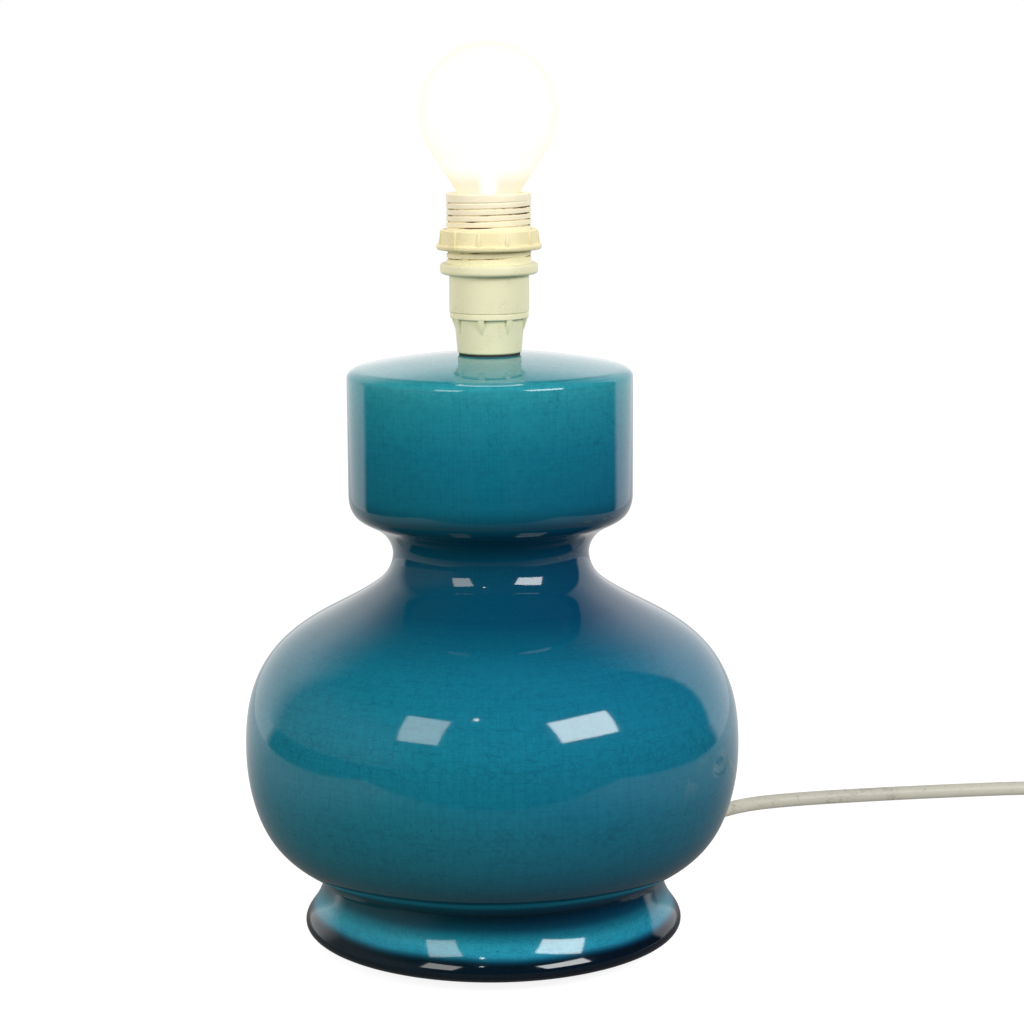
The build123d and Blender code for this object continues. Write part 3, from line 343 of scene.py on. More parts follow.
def glaze_material():
    """Crackled turquoise glaze: its colour by height, cracks, specks, and bare clay inside."""
    gloss = 0.07
    made, tree, shader = material("turquoise_glaze", gloss, ior=1.53)
    place = object_place(tree)
    apart = split(tree, place)
    wander = cloud(tree, place, 14.0, 3.0, 0.5)
    height = maths(tree, "MULTIPLY_ADD", maths(tree, "SUBTRACT", wander, 0.5), 0.003, apart["Z"])
    ramp_top = 200
    tone_and_shade_ramp = add(tree, "ShaderNodeValToRGB", {0: span(tree, height, 0.0, ramp_top * MM, smooth=False)})
    # Heights in millimetres and the glaze's tone there, from the foot's lip to the drum's top. The tones
    # hold painted shade in the crease under the belly, from 20 to 24.4, and painted shade at the neck
    # under the drum, from 117 to 147, where the glaze is also thicker; the lighter tones from 184 up are
    # painted light of the bulb on the drum's top.
    tones_and_painted_shade = [
        (0.0, (6, 9, 14)),
        (10.2, (3, 7, 13)),
        (11.4, (12, 70, 96)),
        (12.8, (42, 154, 182)),
        (15.2, (42, 154, 176)),
        (17.8, (24, 114, 134)),
        (20.0, (9, 56, 74)),
        (22.6, (4, 32, 46)),
        (24.4, (4, 34, 48)),
        (25.6, (16, 72, 90)),
        (30.0, (18, 84, 102)),
        (45.0, (18, 103, 121)),
        (66.0, (18, 115, 138)),
        (84.0, (22, 124, 149)),
        (104.0, (15, 108, 135)),
        (117.0, (4, 60, 92)),
        (134.0, (3, 54, 82)),
        (147.0, (5, 48, 70)),
        (154.0, (12, 98, 122)),
        (170.0, (18, 116, 140)),
        (184.0, (34, 142, 158)),
        (190.0, (50, 158, 170)),
        (197.0, (40, 142, 154)),
    ]
    elements = tone_and_shade_ramp.color_ramp.elements
    while len(elements) < len(tones_and_painted_shade):
        elements.new(0.5)
    for element, (z, tone) in zip(elements, tones_and_painted_shade):
        element.position = z / ramp_top
        element.color = colour(*tone)
    # The glaze lies thinner and greener in places, and thicker and bluer in others, at random; it is also
    # greener on the left and bluer on the right, a painted tint of the two softboxes' light
    thick = cloud(tree, place, 9.0, 2.0, 0.5)
    side = span(tree, apart["X"], -0.06, 0.06)
    greener = blend(tree, 0.22, tone_and_shade_ramp.outputs[0], colour(20, 124, 122))
    bluer = blend(tree, 0.14, tone_and_shade_ramp.outputs[0], colour(6, 92, 150))
    thickness_and_lamp_side = maths(tree, "MULTIPLY_ADD", maths(tree, "SUBTRACT", thick, 0.5), 0.9, side, clamp=True)
    toned = blend(tree, thickness_and_lamp_side, greener, bluer)
    toned = blend(tree, 0.75, tone_and_shade_ramp.outputs[0], toned)
    mottle = cloud(tree, place, 420.0, 4.0, 0.7)
    toned = blend(tree, span(tree, mottle, 0.35, 0.75, 0.0, 0.22), toned, colour(8, 70, 96))
    # It has pooled along the lip, and is nearly black there
    pooled = span(tree, height, 0.0098, 0.0120, 0.85, 0.0)
    toned = blend(tree, pooled, toned, colour(6, 14, 24))
    # Three sizes of crack, the widest lines the fewest
    masks = []
    for cell, width, bend, order, kept, share in (
        (190.0, 0.020, 0.0012, 0.45, 0.40, 0.30),
        (330.0, 0.036, 0.0008, 0.40, 0.60, 0.30),
        (560.0, 0.056, 0.0005, 0.35, 0.62, 0.26),
    ):
        values = {"Place": place, "Cell": cell, "Width": width, "Bend": bend, "Order": order, "Kept": kept}
        masks.append(maths(tree, "MULTIPLY", use(tree, crackle_group, values)["Mask"], share))
    cracks = maths(tree, "MAXIMUM", maths(tree, "MAXIMUM", masks[0], masks[1]), masks[2])
    toned = blend(tree, cracks, toned, colour(4, 42, 66))
    # Dark specks, few and in patches
    grains = add(tree, "ShaderNodeTexVoronoi", {"Vector": place, "Scale": 330.0}).outputs
    specks = span(tree, grains["Distance"], 0.05, 0.12, 1.0, 0.0)
    rare = span(tree, cloud(tree, place, 160.0, 1.0), 0.62, 0.70)
    specks = maths(tree, "MULTIPLY", specks, rare)
    toned = blend(tree, maths(tree, "MULTIPLY", specks, 0.8), toned, colour(10, 34, 48))
    # Bare clay inside and under the foot
    bare = add(tree, "ShaderNodeAttribute", attribute_name="bare").outputs["Fac"]
    clay = blend(tree, cloud(tree, place, 240.0, 4.0), colour(190, 160, 132), colour(226, 204, 178))
    tree.links.new(blend(tree, bare, toned, clay), shader["Base Color"])
    tree.links.new(maths(tree, "MULTIPLY_ADD", bare, 0.75, gloss, clamp=True), shader["Roughness"])
    waves = cloud(tree, place, 55.0, 2.0, 0.4)
    relief = maths(tree, "MULTIPLY_ADD", cracks, -0.002, maths(tree, "MULTIPLY", waves, 0.16))
    relief = maths(tree, "MULTIPLY_ADD", specks, -0.05, relief)
    bump(tree, shader, relief, 0.35, 0.001)
    return made


def paint_material():
    """Cream paint that has flaked off in the thread's grooves and shows dark metal."""
    gloss = 0.42
    made, tree, shader = material("cream_paint", gloss)
    place = object_place(tree)
    aged = use(
        tree,
        aged_tone_group,
        {
            "Colour": colour(249, 242, 202),
            "Dirt": colour(176, 156, 110),
            "Scale": 120.0,
            "Patches": 0.06,
            "Dirt share": 0.16,
            "Roughness": gloss,
        },
    )
    groove = add(tree, "ShaderNodeAttribute", attribute_name="groove").outputs["Fac"]
    patches = cloud(tree, vector(tree, "MULTIPLY", place, (1, 1, 2.6)), 85.0, 4.0, 0.65)
    worn = span(tree, maths(tree, "MULTIPLY_ADD", groove, 0.30, patches), 0.74, 0.84)
    worn = maths(tree, "MULTIPLY", worn, span(tree, groove, 0.15, 0.5))
    metal = blend(tree, cloud(tree, place, 900.0, 3.0), colour(70, 48, 30), colour(138, 98, 58))
    # Painted warm light of the bulb on the paint near its mouth, warmer upwards
    painted_bulb_light = span(tree, split(tree, place)["Z"], 0.226, 0.246, 0.0, 0.75)
    warm = blend(tree, painted_bulb_light, aged["Colour"], colour(252, 239, 212))
    tree.links.new(blend(tree, worn, warm, metal), shader["Base Color"])
    tree.links.new(maths(tree, "MULTIPLY_ADD", worn, 0.2, aged["Roughness"]), shader["Roughness"])
    bump(tree, shader, maths(tree, "MULTIPLY_ADD", worn, -1.0, aged["Height"]), 0.12, 0.0002)
    return made


def bulb_material():
    """Lit opal glass: creamier at its rim, where one looks through more of it, and warm at the neck."""
    made, tree, shader = material(
        "opal_glass",
        0.3,
        ior=1.5,
        Specular_IOR_Level=0.0,
        Emission_Strength=1.0,
        Coat_Weight=1.0,
        Coat_Roughness=0.1,
        Coat_IOR=1.05,
        Coat_Tint=(1.0, 0.982, 0.90, 1.0),
    )
    place = object_place(tree)
    apart = split(tree, place)
    soft = cloud(tree, place, 60.0, 2.0)
    body = blend(tree, soft, (0.17, 0.165, 0.155, 1), (0.19, 0.185, 0.17, 1))
    # The neck is dimmer but for four bright gaps between what holds the light's source inside
    neck = span(tree, apart["Z"], 0.2525, 0.2590, 1.0, 0.0)
    product = maths(tree, "ABSOLUTE", maths(tree, "MULTIPLY", apart["X"], apart["Y"]))
    gap = span(tree, maths(tree, "DIVIDE", product, squared_reach(tree, apart)), 0.12, 0.30)
    neck = maths(tree, "MULTIPLY", neck, gap)
    tree.links.new(blend(tree, neck, body, (0.18, 0.16, 0.14, 1)), shader["Base Color"])
    glow = blend(tree, neck, (1.02, 1.02, 1.05, 1), (0.96, 0.82, 0.70, 1))
    tree.links.new(glow, shader["Emission Color"])
    return made


def glass_material():
    """Clear glass of the stem inside the bulb."""
    made, tree, shader = material("clear_glass", 0.03, ior=1.5, Transmission_Weight=1.0)
    tone = blend(tree, cloud(tree, object_place(tree), 90.0), (0.93, 0.96, 0.95, 1), (0.99, 1, 0.99, 1))
    tree.links.new(tone, shader["Base Color"])
    return made


finishes = {
    "turquoise_glaze": glaze_material(),
    "cream_paint": paint_material(),
    "opal_glass": bulb_material(),
    "clear_glass": glass_material(),
}

# Small parts' finishes: tone, roughness, metal, patches, dirt, the pattern's scale, and grain
small_finishes = {
    "ivory_rubber": ((214, 205, 182), 0.60, 0.0, 0.15, 0.30, 90.0, 0.05),
    "ivory_sheath": ((222, 217, 200), 0.45, 0.0, 0.18, 0.35, 70.0, 0.05),
    "brown_core": ((92, 58, 36), 0.50, 0.0, 0.15, 0.10, 200.0, 0.05),
    "blue_core": ((52, 96, 156), 0.50, 0.0, 0.15, 0.10, 200.0, 0.05),
    "zinc_steel": ((176, 178, 178), 0.34, 1.0, 0.30, 0.25, 150.0, 0.05),
    "dark_fibre": ((52, 46, 42), 0.85, 0.0, 0.15, 0.10, 300.0, 0.30),
    "black_rubber": ((34, 34, 35), 0.75, 0.0, 0.15, 0.10, 200.0, 0.20),
    "warm_cream_plastic": ((246, 233, 184), 0.38, 0.0, 0.10, 0.16, 110.0, 0.05),
    "white_porcelain": ((236, 234, 226), 0.22, 0.0, 0.06, 0.08, 120.0, 0.05),
    "brass": ((202, 164, 92), 0.30, 1.0, 0.25, 0.20, 220.0, 0.05),
    "nickel_plate": ((206, 204, 196), 0.22, 1.0, 0.18, 0.12, 160.0, 0.05),
    "black_glass": ((24, 22, 26), 0.15, 0.0, 0.15, 0.10, 160.0, 0.0),
    "solder": ((178, 178, 174), 0.38, 1.0, 0.30, 0.10, 500.0, 0.30),
    "tungsten": ((120, 116, 110), 0.45, 1.0, 0.15, 0.10, 900.0, 0.0),
    "ivory_switch": ((226, 220, 200), 0.38, 0.0, 0.10, 0.14, 80.0, 0.05),
    "white_rocker": ((238, 236, 228), 0.30, 0.0, 0.06, 0.10, 90.0, 0.05),
    "ivory_plug": ((224, 217, 196), 0.42, 0.0, 0.12, 0.20, 80.0, 0.05),
}
dirt_tones = {"ivory_sheath": (120, 104, 78), "warm_cream_plastic": (150, 122, 74)}
for name, values in small_finishes.items():
    finishes[name] = finish_of(name, *values, dirt_tones.get(name, (70, 60, 45)))


# Geometry trees, and what turns their results into plain meshes

def closed_rows(tree, rows, segments):
    """Grid whose rows each go once round, with the row and the column of its points."""
    columns = maths(tree, "ADD", segments, 1.0)
    grid = add(tree, "GeometryNodeMeshGrid", {"Vertices X": rows, "Vertices Y": columns})
    index = tree.nodes.new("GeometryNodeInputIndex").outputs[0]
    row = maths(tree, "FLOOR", maths(tree, "DIVIDE", maths(tree, "ADD", index, 0.5), columns))
    column = maths(tree, "SUBTRACT", index, maths(tree, "MULTIPLY", row, columns))
    return grid.outputs["Mesh"], row, column


def taken_from(tree, mesh, value, index, kind):
    """Value of a mesh's point, by the point's number."""
    sample = add(tree, "GeometryNodeSampleIndex", {"Geometry": mesh}, data_type=kind, clamp=True)
    tree.links.new(value, sample.inputs["Value"])
    tree.links.new(index, sample.inputs["Index"])
    return sample.outputs[0]


def round_the_axis(tree, mesh, radius, angle, z):
    """Mesh with its points moved to a radius, an angle and a height."""
    values = {
        0: maths(tree, "MULTIPLY", radius, maths(tree, "COSINE", angle)),
        1: maths(tree, "MULTIPLY", radius, maths(tree, "SINE", angle)),
        2: z,
    }
    place = add(tree, "ShaderNodeCombineXYZ", values).outputs[0]
    return add(tree, "GeometryNodeSetPosition", {"Geometry": mesh, "Position": place}).outputs[0]


def marked(tree, mesh, name, value):
    """Mesh whose points keep a value under a name."""
    values = {"Geometry": mesh, "Name": name, "Value": value}
    settings = {"data_type": "FLOAT", "domain": "POINT"}
    return add(tree, "GeometryNodeStoreNamedAttribute", values, **settings).outputs[0]


def welded(tree, mesh, gap):
    """Mesh whose points become one where they lie closer than a gap."""
    return add(tree, "GeometryNodeMergeByDistance", {"Geometry": mesh, "Distance": gap}).outputs[0]


def close_tree(tree, mesh, finish, out):
    """Ends a tree with real geometry and its finish."""
    real = add(tree, "GeometryNodeRealizeInstances", {"Geometry": mesh}).outputs[0]
    painted = add(tree, "GeometryNodeSetMaterial", {"Geometry": real, "Material": finish}).outputs[0]
    tree.links.new(painted, out["Geometry"])
    return tree


def turned_tree():
    """Profile of points in the XZ plane, turned about Z: row by row, so that every corner stays."""
    tree, given, out = group(
        "turned_piece",
        [
            ("Geometry", "Geometry", None),
            ("Rows", "Int", 2),
            ("Segments", "Int", 128),
            ("Finish", "Material", None),
        ],
        [("Geometry", "Geometry")],
        "GeometryNodeTree",
    )
    mesh, row, column = closed_rows(tree, given["Rows"], given["Segments"])
    position = tree.nodes.new("GeometryNodeInputPosition").outputs[0]
    apart = split(tree, taken_from(tree, given["Geometry"], position, row, "FLOAT_VECTOR"))
    angle = maths(tree, "MULTIPLY", maths(tree, "DIVIDE", column, given["Segments"]), math.tau)
    mesh = round_the_axis(tree, mesh, apart["X"], angle, apart["Z"])
    named = add(tree, "GeometryNodeInputNamedAttribute", {"Name": "mark"}, data_type="FLOAT")
    mark = taken_from(tree, given["Geometry"], named.outputs["Attribute"], row, "FLOAT")
    mesh = welded(tree, marked(tree, mesh, "mark", mark), seam_gap)
    return close_tree(tree, mesh, given["Finish"], out)


def round_tree():
    """Copies of a mesh, evenly about Z."""
    tree, given, out = group(
        "copies_round_the_axis",
        [
            ("Geometry", "Geometry", None),
            ("Count", "Int", 8),
            ("Turn", "Float", 0.0),
            ("Finish", "Material", None),
        ],
        [("Geometry", "Geometry")],
        "GeometryNodeTree",
    )
    points = add(tree, "GeometryNodePoints", {"Count": given["Count"]}).outputs[0]
    index = tree.nodes.new("GeometryNodeInputIndex").outputs[0]
    step = maths(tree, "DIVIDE", math.tau, given["Count"])
    angle = maths(tree, "MULTIPLY_ADD", index, step, given["Turn"])
    turn = add(tree, "ShaderNodeCombineXYZ", {2: angle}).outputs[0]
    values = {"Points": points, "Instance": given["Geometry"], "Rotation": turn}
    copies = add(tree, "GeometryNodeInstanceOnPoints", values).outputs[0]
    return close_tree(tree, copies, given["Finish"], out)


def thread_tree():
    """Right-handed thread on a barrel: rows that climb one pitch a turn and stop at both ends."""
    tree, given, out = group(
        "barrel_thread",
        [
            ("Geometry", "Geometry", None),
            ("Radius", "Float", 0.01),
            ("Pitch", "Float", 0.002),
            ("Depth", "Float", 0.0005),
            ("Low", "Float", 0.0),
            ("High", "Float", 0.02),
            ("Rows a pitch", "Int", 20),
            ("Segments", "Int", 128),
            ("Finish", "Material", None),
        ],
        [("Geometry", "Geometry")],
        "GeometryNodeTree",
    )
    reach = maths(tree, "SUBTRACT", given["High"], given["Low"])
    turns = maths(tree, "ADD", maths(tree, "DIVIDE", reach, given["Pitch"]), 2.0)
    rows = maths(tree, "CEIL", maths(tree, "MULTIPLY", turns, given["Rows a pitch"]))
    mesh, row, column = closed_rows(tree, rows, given["Segments"])
    share = maths(tree, "DIVIDE", column, given["Segments"])
    level = maths(tree, "SUBTRACT", maths(tree, "DIVIDE", row, given["Rows a pitch"]), 1.0)
    climbed = maths(tree, "MULTIPLY_ADD", maths(tree, "ADD", level, share), given["Pitch"], given["Low"])
    z = maths(tree, "MINIMUM", maths(tree, "MAXIMUM", climbed, given["Low"]), given["High"])
    # The groove lies half way between two crests, and runs out at both ends
    phase = maths(tree, "FRACT", maths(tree, "ADD", level, 8.5))
    away = maths(tree, "ABSOLUTE", maths(tree, "SUBTRACT", phase, 0.5))
    groove = span(tree, away, 0.03, 0.17, 1.0, 0.0, smooth=False)
    start = span(tree, z, given["Low"], maths(tree, "MULTIPLY_ADD", given["Pitch"], 0.5, given["Low"]))
    below = maths(tree, "MULTIPLY_ADD", given["Pitch"], -0.6, given["High"])
    end = span(tree, z, below, given["High"], 1.0, 0.0)
    groove = maths(tree, "MULTIPLY", groove, maths(tree, "MULTIPLY", start, end))
    radius = maths(tree, "SUBTRACT", given["Radius"], maths(tree, "MULTIPLY", groove, given["Depth"]))
    mesh = round_the_axis(tree, mesh, radius, maths(tree, "MULTIPLY", share, math.tau), z)
    mesh = welded(tree, marked(tree, mesh, "groove", groove), weld_gap)
    return close_tree(tree, mesh, given["Finish"], out)


turned_piece, copies_round, barrel_thread = turned_tree(), round_tree(), thread_tree()


def base_mesh(name, points, edges=(), faces=()):
    """Object with a plain mesh, in metres."""
    mesh = bpy.data.meshes.new(name)
    mesh.from_pydata([tuple(point) for point in points], edges, faces)
    made = bpy.data.objects.new(name, mesh)
    bpy.context.scene.collection.objects.link(made)
    return made


def plain(made):
    """Replaces an object's mesh by what its modifiers make of it, and removes them."""
    view = bpy.context.evaluated_depsgraph_get()
    mesh = bpy.data.meshes.new_from_object(made.evaluated_get(view))
    made.modifiers.clear()
    old = made.data
    made.data = mesh
    bpy.data.meshes.remove(old)
    return made


def grown(made, tree, values):
    """Result of a geometry tree on an object, as its plain mesh."""
    modifier = made.modifiers.new(tree.name, "NODES")
    modifier.node_group = tree
    for item in tree.interface.items_tree:
        if item.item_type == "SOCKET" and item.in_out == "INPUT" and item.name in values:
            modifier[item.identifier] = values[item.name]
    return plain(made)


def turned(name, points, segments, finish, marks=None):
    """Piece turned from a profile of (radius, height) in millimetres."""
    places = [(r * MM, 0, z * MM) for r, z in points]
    made = base_mesh(name, places, [(i, i + 1) for i in range(len(places) - 1)])
    if marks is not None:
        made.data.attributes.new("mark", "FLOAT", "POINT").data.foreach_set("value", marks)
    values = {"Rows": len(places), "Segments": segments, "Finish": finishes[finish]}
    return grown(made, turned_piece, values)


def copied_round(made, count, turn, finish):
    """Copies of an object's mesh round the axis, the first at a turn."""
    return grown(made, copies_round, {"Count": count, "Turn": turn, "Finish": finishes[finish]})


def joined(target, *others):
    """Adds other pieces' meshes to a piece, and welds what meets."""
    whole = bmesh.new()
    for piece in (target, *others):
        whole.from_mesh(piece.data)
    bmesh.ops.remove_doubles(whole, verts=whole.verts, dist=weld_gap)
    bmesh.ops.dissolve_degenerate(whole, edges=whole.edges, dist=weld_gap / 4)
    bmesh.ops.recalc_face_normals(whole, faces=whole.faces)
    whole.to_mesh(target.data)
    whole.free()
    for piece in others:
        bpy.data.objects.remove(piece)
    return target


def smoothed(made, degrees=35):
    """Smooth faces, but for the edges that are sharper than an angle."""
    made.data.shade_smooth()
    made.data.set_sharp_from_angle(angle=math.radians(degrees))
    return made


# Lines of the profiles

def clamped(points, start, end, step):
    """Points along the smooth line through others, which leaves and ends in given directions."""
    place = np.array(points, float)
    gaps = np.linalg.norm(np.diff(place, axis=0), axis=1)
    count = len(place)
    matrix = np.zeros((count, count))
    target = np.zeros((count, 2))
    matrix[0, 0] = matrix[-1, -1] = 1
    target[0] = np.array(start) / np.hypot(*start)
    target[-1] = np.array(end) / np.hypot(*end)
    for i in range(1, count - 1):
        before, after = gaps[i - 1], gaps[i]
        matrix[i, i - 1], matrix[i, i], matrix[i, i + 1] = after, 2 * (before + after), before
        run_in = after * (place[i] - place[i - 1]) / before
        run_out = before * (place[i + 1] - place[i]) / after
        target[i] = 3 * (run_in + run_out)
    slopes = np.linalg.solve(matrix, target)
    line = []
    for i in range(count - 1):
        steps = max(3, int(gaps[i] / step))
        for k in range(steps):
            t = k / steps
            line.append(
                (2 * t**3 - 3 * t**2 + 1) * place[i]
                + (t**3 - 2 * t**2 + t) * gaps[i] * slopes[i]
                + (3 * t**2 - 2 * t**3) * place[i + 1]
                + (t**3 - t**2) * gaps[i] * slopes[i + 1]
            )
    line.append(place[-1])
    return [tuple(point) for point in line]


def shares_of(start, end, shares):
    """Points between two others, at shares of the way in radius and in height."""
    return [(start[0] + (end[0] - start[0]) * r, start[1] + (end[1] - start[1]) * z) for r, z in shares]


def rounded(*corners, steps=4):
    """Closed profile of (radius, height) corners, with a rounding where a third number says one."""
    points = []
    count = len(corners)
    for number, corner in enumerate(corners):
        here = Vector(corner[:2])
        if len(corner) < 3:
            points.append(tuple(here))
            continue
        before = Vector(corners[number - 1][:2]) - here
        after = Vector(corners[(number + 1) % count][:2]) - here
        half = before.angle(after) / 2
        back = corner[2] / math.tan(half)
        start, end = here + before.normalized() * back, here + after.normalized() * back
        inwards = (before.normalized() + after.normalized()).normalized()
        middle = here + inwards * (corner[2] / math.sin(half))
        first, last = start - middle, end - middle
        for step in range(steps + 1):
            share = step / steps
            ray = first.lerp(last, share)
            points.append(tuple(middle + ray.normalized() * corner[2]))
    points.append(points[0])
    return points


def inset(points, depth):
    """Points a wall's depth inside a line that runs upwards."""
    place = np.array(points)
    along = np.gradient(place, axis=0)
    along /= np.linalg.norm(along, axis=1)[:, None]
    inner = place + np.stack([-along[:, 1], along[:, 0]], 1) * depth
    return [tuple(point) for point in inner]


def dome_z(radius):
    """Height of the drum's low dome at a radius."""
    return dome_top_z - dome_rise * (radius / drum_foot[0]) ** 2


# Ceramic body

lower_points = [crease, *shares_of(crease, belly, lower_shares), belly]
lower_start = (lower_points[1][0] - crease[0], lower_points[1][1] - crease[1])
lower_line = clamped(lower_points, lower_start, (0, 1), wall_step)


def exit_frame():
    """Turn and place of the cord's exit: its own Z looks out of the wall."""
    fine = np.array(clamped(lower_points, lower_start, (0, 1), exit_step))
    runs = np.concatenate([[0], np.cumsum(np.linalg.norm(np.diff(fine, axis=0), axis=1))])
    i = int(np.searchsorted(runs, runs[-1] * exit_share))
    along = (fine[i + 1] - fine[i - 1]) / np.linalg.norm(fine[i + 1] - fine[i - 1])
    out = Vector((along[1], 0, -along[0]))
    across = Vector((0, 1, 0))
    turn = Matrix((across, out.cross(across), out)).transposed().to_4x4()
    place = Matrix.Translation(Vector((fine[i][0], 0, fine[i][1])) * MM)
    return Matrix.Rotation(exit_turn, 4, "Z") @ place @ turn


def ceramic_profile():
    """Outer line from the foot's ring to the seat, and the inner line back, with a mark on bare clay."""
    rim_end = (drum_foot[0] - rim_width, dome_z(drum_foot[0] - rim_width))
    rim_slope = (-drum_foot[0], 2 * dome_rise * rim_end[0] / drum_foot[0])
    corner_r = crease[0] + (foot_wall[0] - crease[0]) * corner_share
    corner = (corner_r, foot_wall[1] + (crease[1] - foot_wall[1]) * corner_share)
    sole = shares_of((contact_r, 0), lip, sole_shares)
    cove = shares_of(lip, foot_wall, foot_shares)
    wall_slope = (foot_wall[0] - cove[-1][0], foot_wall[1] - cove[-1][1])
    crease_slope = (crease[0] - corner[0], crease[1] - corner[1])
    upper = clamped([belly, *shares_of(belly, neck, upper_shares), neck], (0, 1), (0, 1), wall_step)
    under_drum = [neck, *shares_of(neck, drum_foot, drum_shares), drum_foot]
    wall = [(drum_foot[0], z) for z in np.linspace(drum_foot[1], drum_top_z, drum_points)]
    dome = [(r, dome_z(r)) for r in np.linspace(rim_end[0], seat_r, dome_points)]
    outer = [
        *clamped([(contact_r, 0), *sole, lip], (1, sole_lean), (0, 1), sole_step),
        *clamped([lip, *cove, foot_wall], (0, 1), wall_slope, foot_step)[1:],
        *clamped([foot_wall, corner, crease], wall_slope, crease_slope, foot_step)[1:],
        *lower_line[1:],
        *upper[1:],
        *clamped(under_drum, (0, 1), (0, 1), sole_step)[1:],
        *wall[1:],
        *clamped([(drum_foot[0], drum_top_z), rim_end], (0, 1), rim_slope, rim_step)[1:],
        *dome[1:],
    ]
    seat_z = dome_z(seat_r)
    roof_z = seat_z - drum_roof
    drum_inner_r = drum_foot[0] - ceramic_wall
    inner_foot_z = drum_foot[1] + ceramic_wall * inner_foot_share
    inner_upper = inset(upper[::inner_every] + [upper[-1]], ceramic_wall)
    inner_lower = inset(lower_line[::inner_every] + [lower_line[-1]], ceramic_wall)[2:]
    inner = [
        (stem_hole_r, seat_z),
        (stem_hole_r, roof_z),
        (drum_inner_r - roof_corner, roof_z),
        (drum_inner_r - roof_corner_cut, roof_z - roof_corner_cut),
        (drum_inner_r, roof_z - roof_corner),
        *clamped([(drum_inner_r, inner_foot_z), inner_upper[-1]], (0, -1), (0, -1), inner_step),
        *reversed(inner_upper[:-1]),
        *reversed(inner_lower[:-1]),
        (crease[0] - ceramic_wall, crease[1]),
        (crease[0] - ceramic_wall, lip[1]),
        (contact_r - contact_width, 0),
        (contact_r, 0),
    ]
    marks = [0.0] * len(outer) + [1.0] * len(inner)
    marks[0] = 1.0
    return outer + inner, marks


def ceramic_body():
    """Turned body with the slight unevenness of a thrown one, and the cord's hole cut in it."""
    profile, marks = ceramic_profile()
    body = turned("lamp_body", profile, body_segments, "turquoise_glaze", marks)
    joined(body)
    for vertex in body.data.vertices:
        if wobble_low_z < vertex.co.z / MM < dome_z(seat_r) - wobble_seat_gap:
            wave = noise.noise(vertex.co * wobble_scale) * 0.5 + 0.5
            out = Vector((vertex.co.x, vertex.co.y, 0)).normalized()
            vertex.co -= out * wave * wobble * MM
    hole = [(0, -exit_cut), (exit_hole_r, -exit_cut), (exit_hole_r, -exit_spot_depth)]
    spot = [(exit_spot_r, -exit_spot_depth), (exit_spot_r, overrun), (0, overrun)]
    cutter = turned("exit_cutter", hole + spot, hole_segments, "turquoise_glaze")
    joined(cutter)
    cutter.data.transform(exit_frame())
    cut = body.modifiers.new("exit", "BOOLEAN")
    cut.operation, cut.solver, cut.object = "DIFFERENCE", "EXACT", cutter
    plain(body)
    bpy.data.objects.remove(cutter)
    smoothed(body, 32)
    mark = body.data.attributes["mark"]
    bare = body.data.attributes.new("bare", "FLOAT", "POINT")
    values = np.zeros(len(body.data.vertices))
    mark.data.foreach_get("value", values)
    bare.data.foreach_set("value", values)
    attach(body, "lamp")
    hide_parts("ceramic_body", "ceramic_drum")


# Lampholder

def rib(name, low_z, high_z, root_r, low_out, high_out, low_half, high_half):
    """Rib that stands out of a wall along X, from one height, width and reach to another."""
    points = []
    for out, half, z in ((low_out, low_half, low_z), (high_out, high_half, high_z)):
        points += [(root_r, -half, z), (out, -half, z), (out, half, z), (root_r, half, z)]
    faces = [(3, 2, 1, 0), (4, 5, 6, 7)]
    faces += [(i, (i + 1) % 4, 4 + (i + 1) % 4, 4 + i) for i in range(4)]
    made = base_mesh(name, [Vector(point) * MM for point in points], (), faces)
    edges = made.modifiers.new("edges", "BEVEL")
    edges.width, edges.segments, edges.limit_method = rib_edge * MM, 2, "ANGLE"
    return plain(made)


def holder_cap():
    """Tapered lower half, with ribs that widen towards its band."""
    band_z = split_z - cap_band_h
    cap = turned(
        "holder_lower_half",
        rounded(
            (stem_r, cap_z),
            (cap_bottom_r, cap_z, cap_foot_edge),
            (cap_shoulder_r, band_z, cap_edge),
            (cap_band_r, band_z, cap_edge),
            (cap_band_r, split_z, cap_edge),
            (spigot_r + spigot_gap, split_z),
            (spigot_r + spigot_gap, split_z - spigot_h - spigot_gap),
            (spigot_bore_r, split_z - spigot_h - spigot_gap),
            (spigot_bore_r, cap_z + cap_floor),
            (stem_r, cap_z + cap_floor),
        ),
        piece_segments,
        "cream_paint",
    )
    low, high, high_out = band_z - cap_rib_h, band_z + cap_rib_sunk, cap_band_r - cap_rib_back
    half_widths = cap_rib_tip_half, cap_rib_band_half
    one = rib("cap_rib", low, high, cap_bottom_r, cap_rib_tip_r, high_out, *half_widths)
    ribs = copied_round(one, cap_rib_count, cap_rib_turn, "cream_paint")
    joined(cap, ribs)
    smoothed(cap)
    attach(cap, "lamp")
    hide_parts("holder_cap")


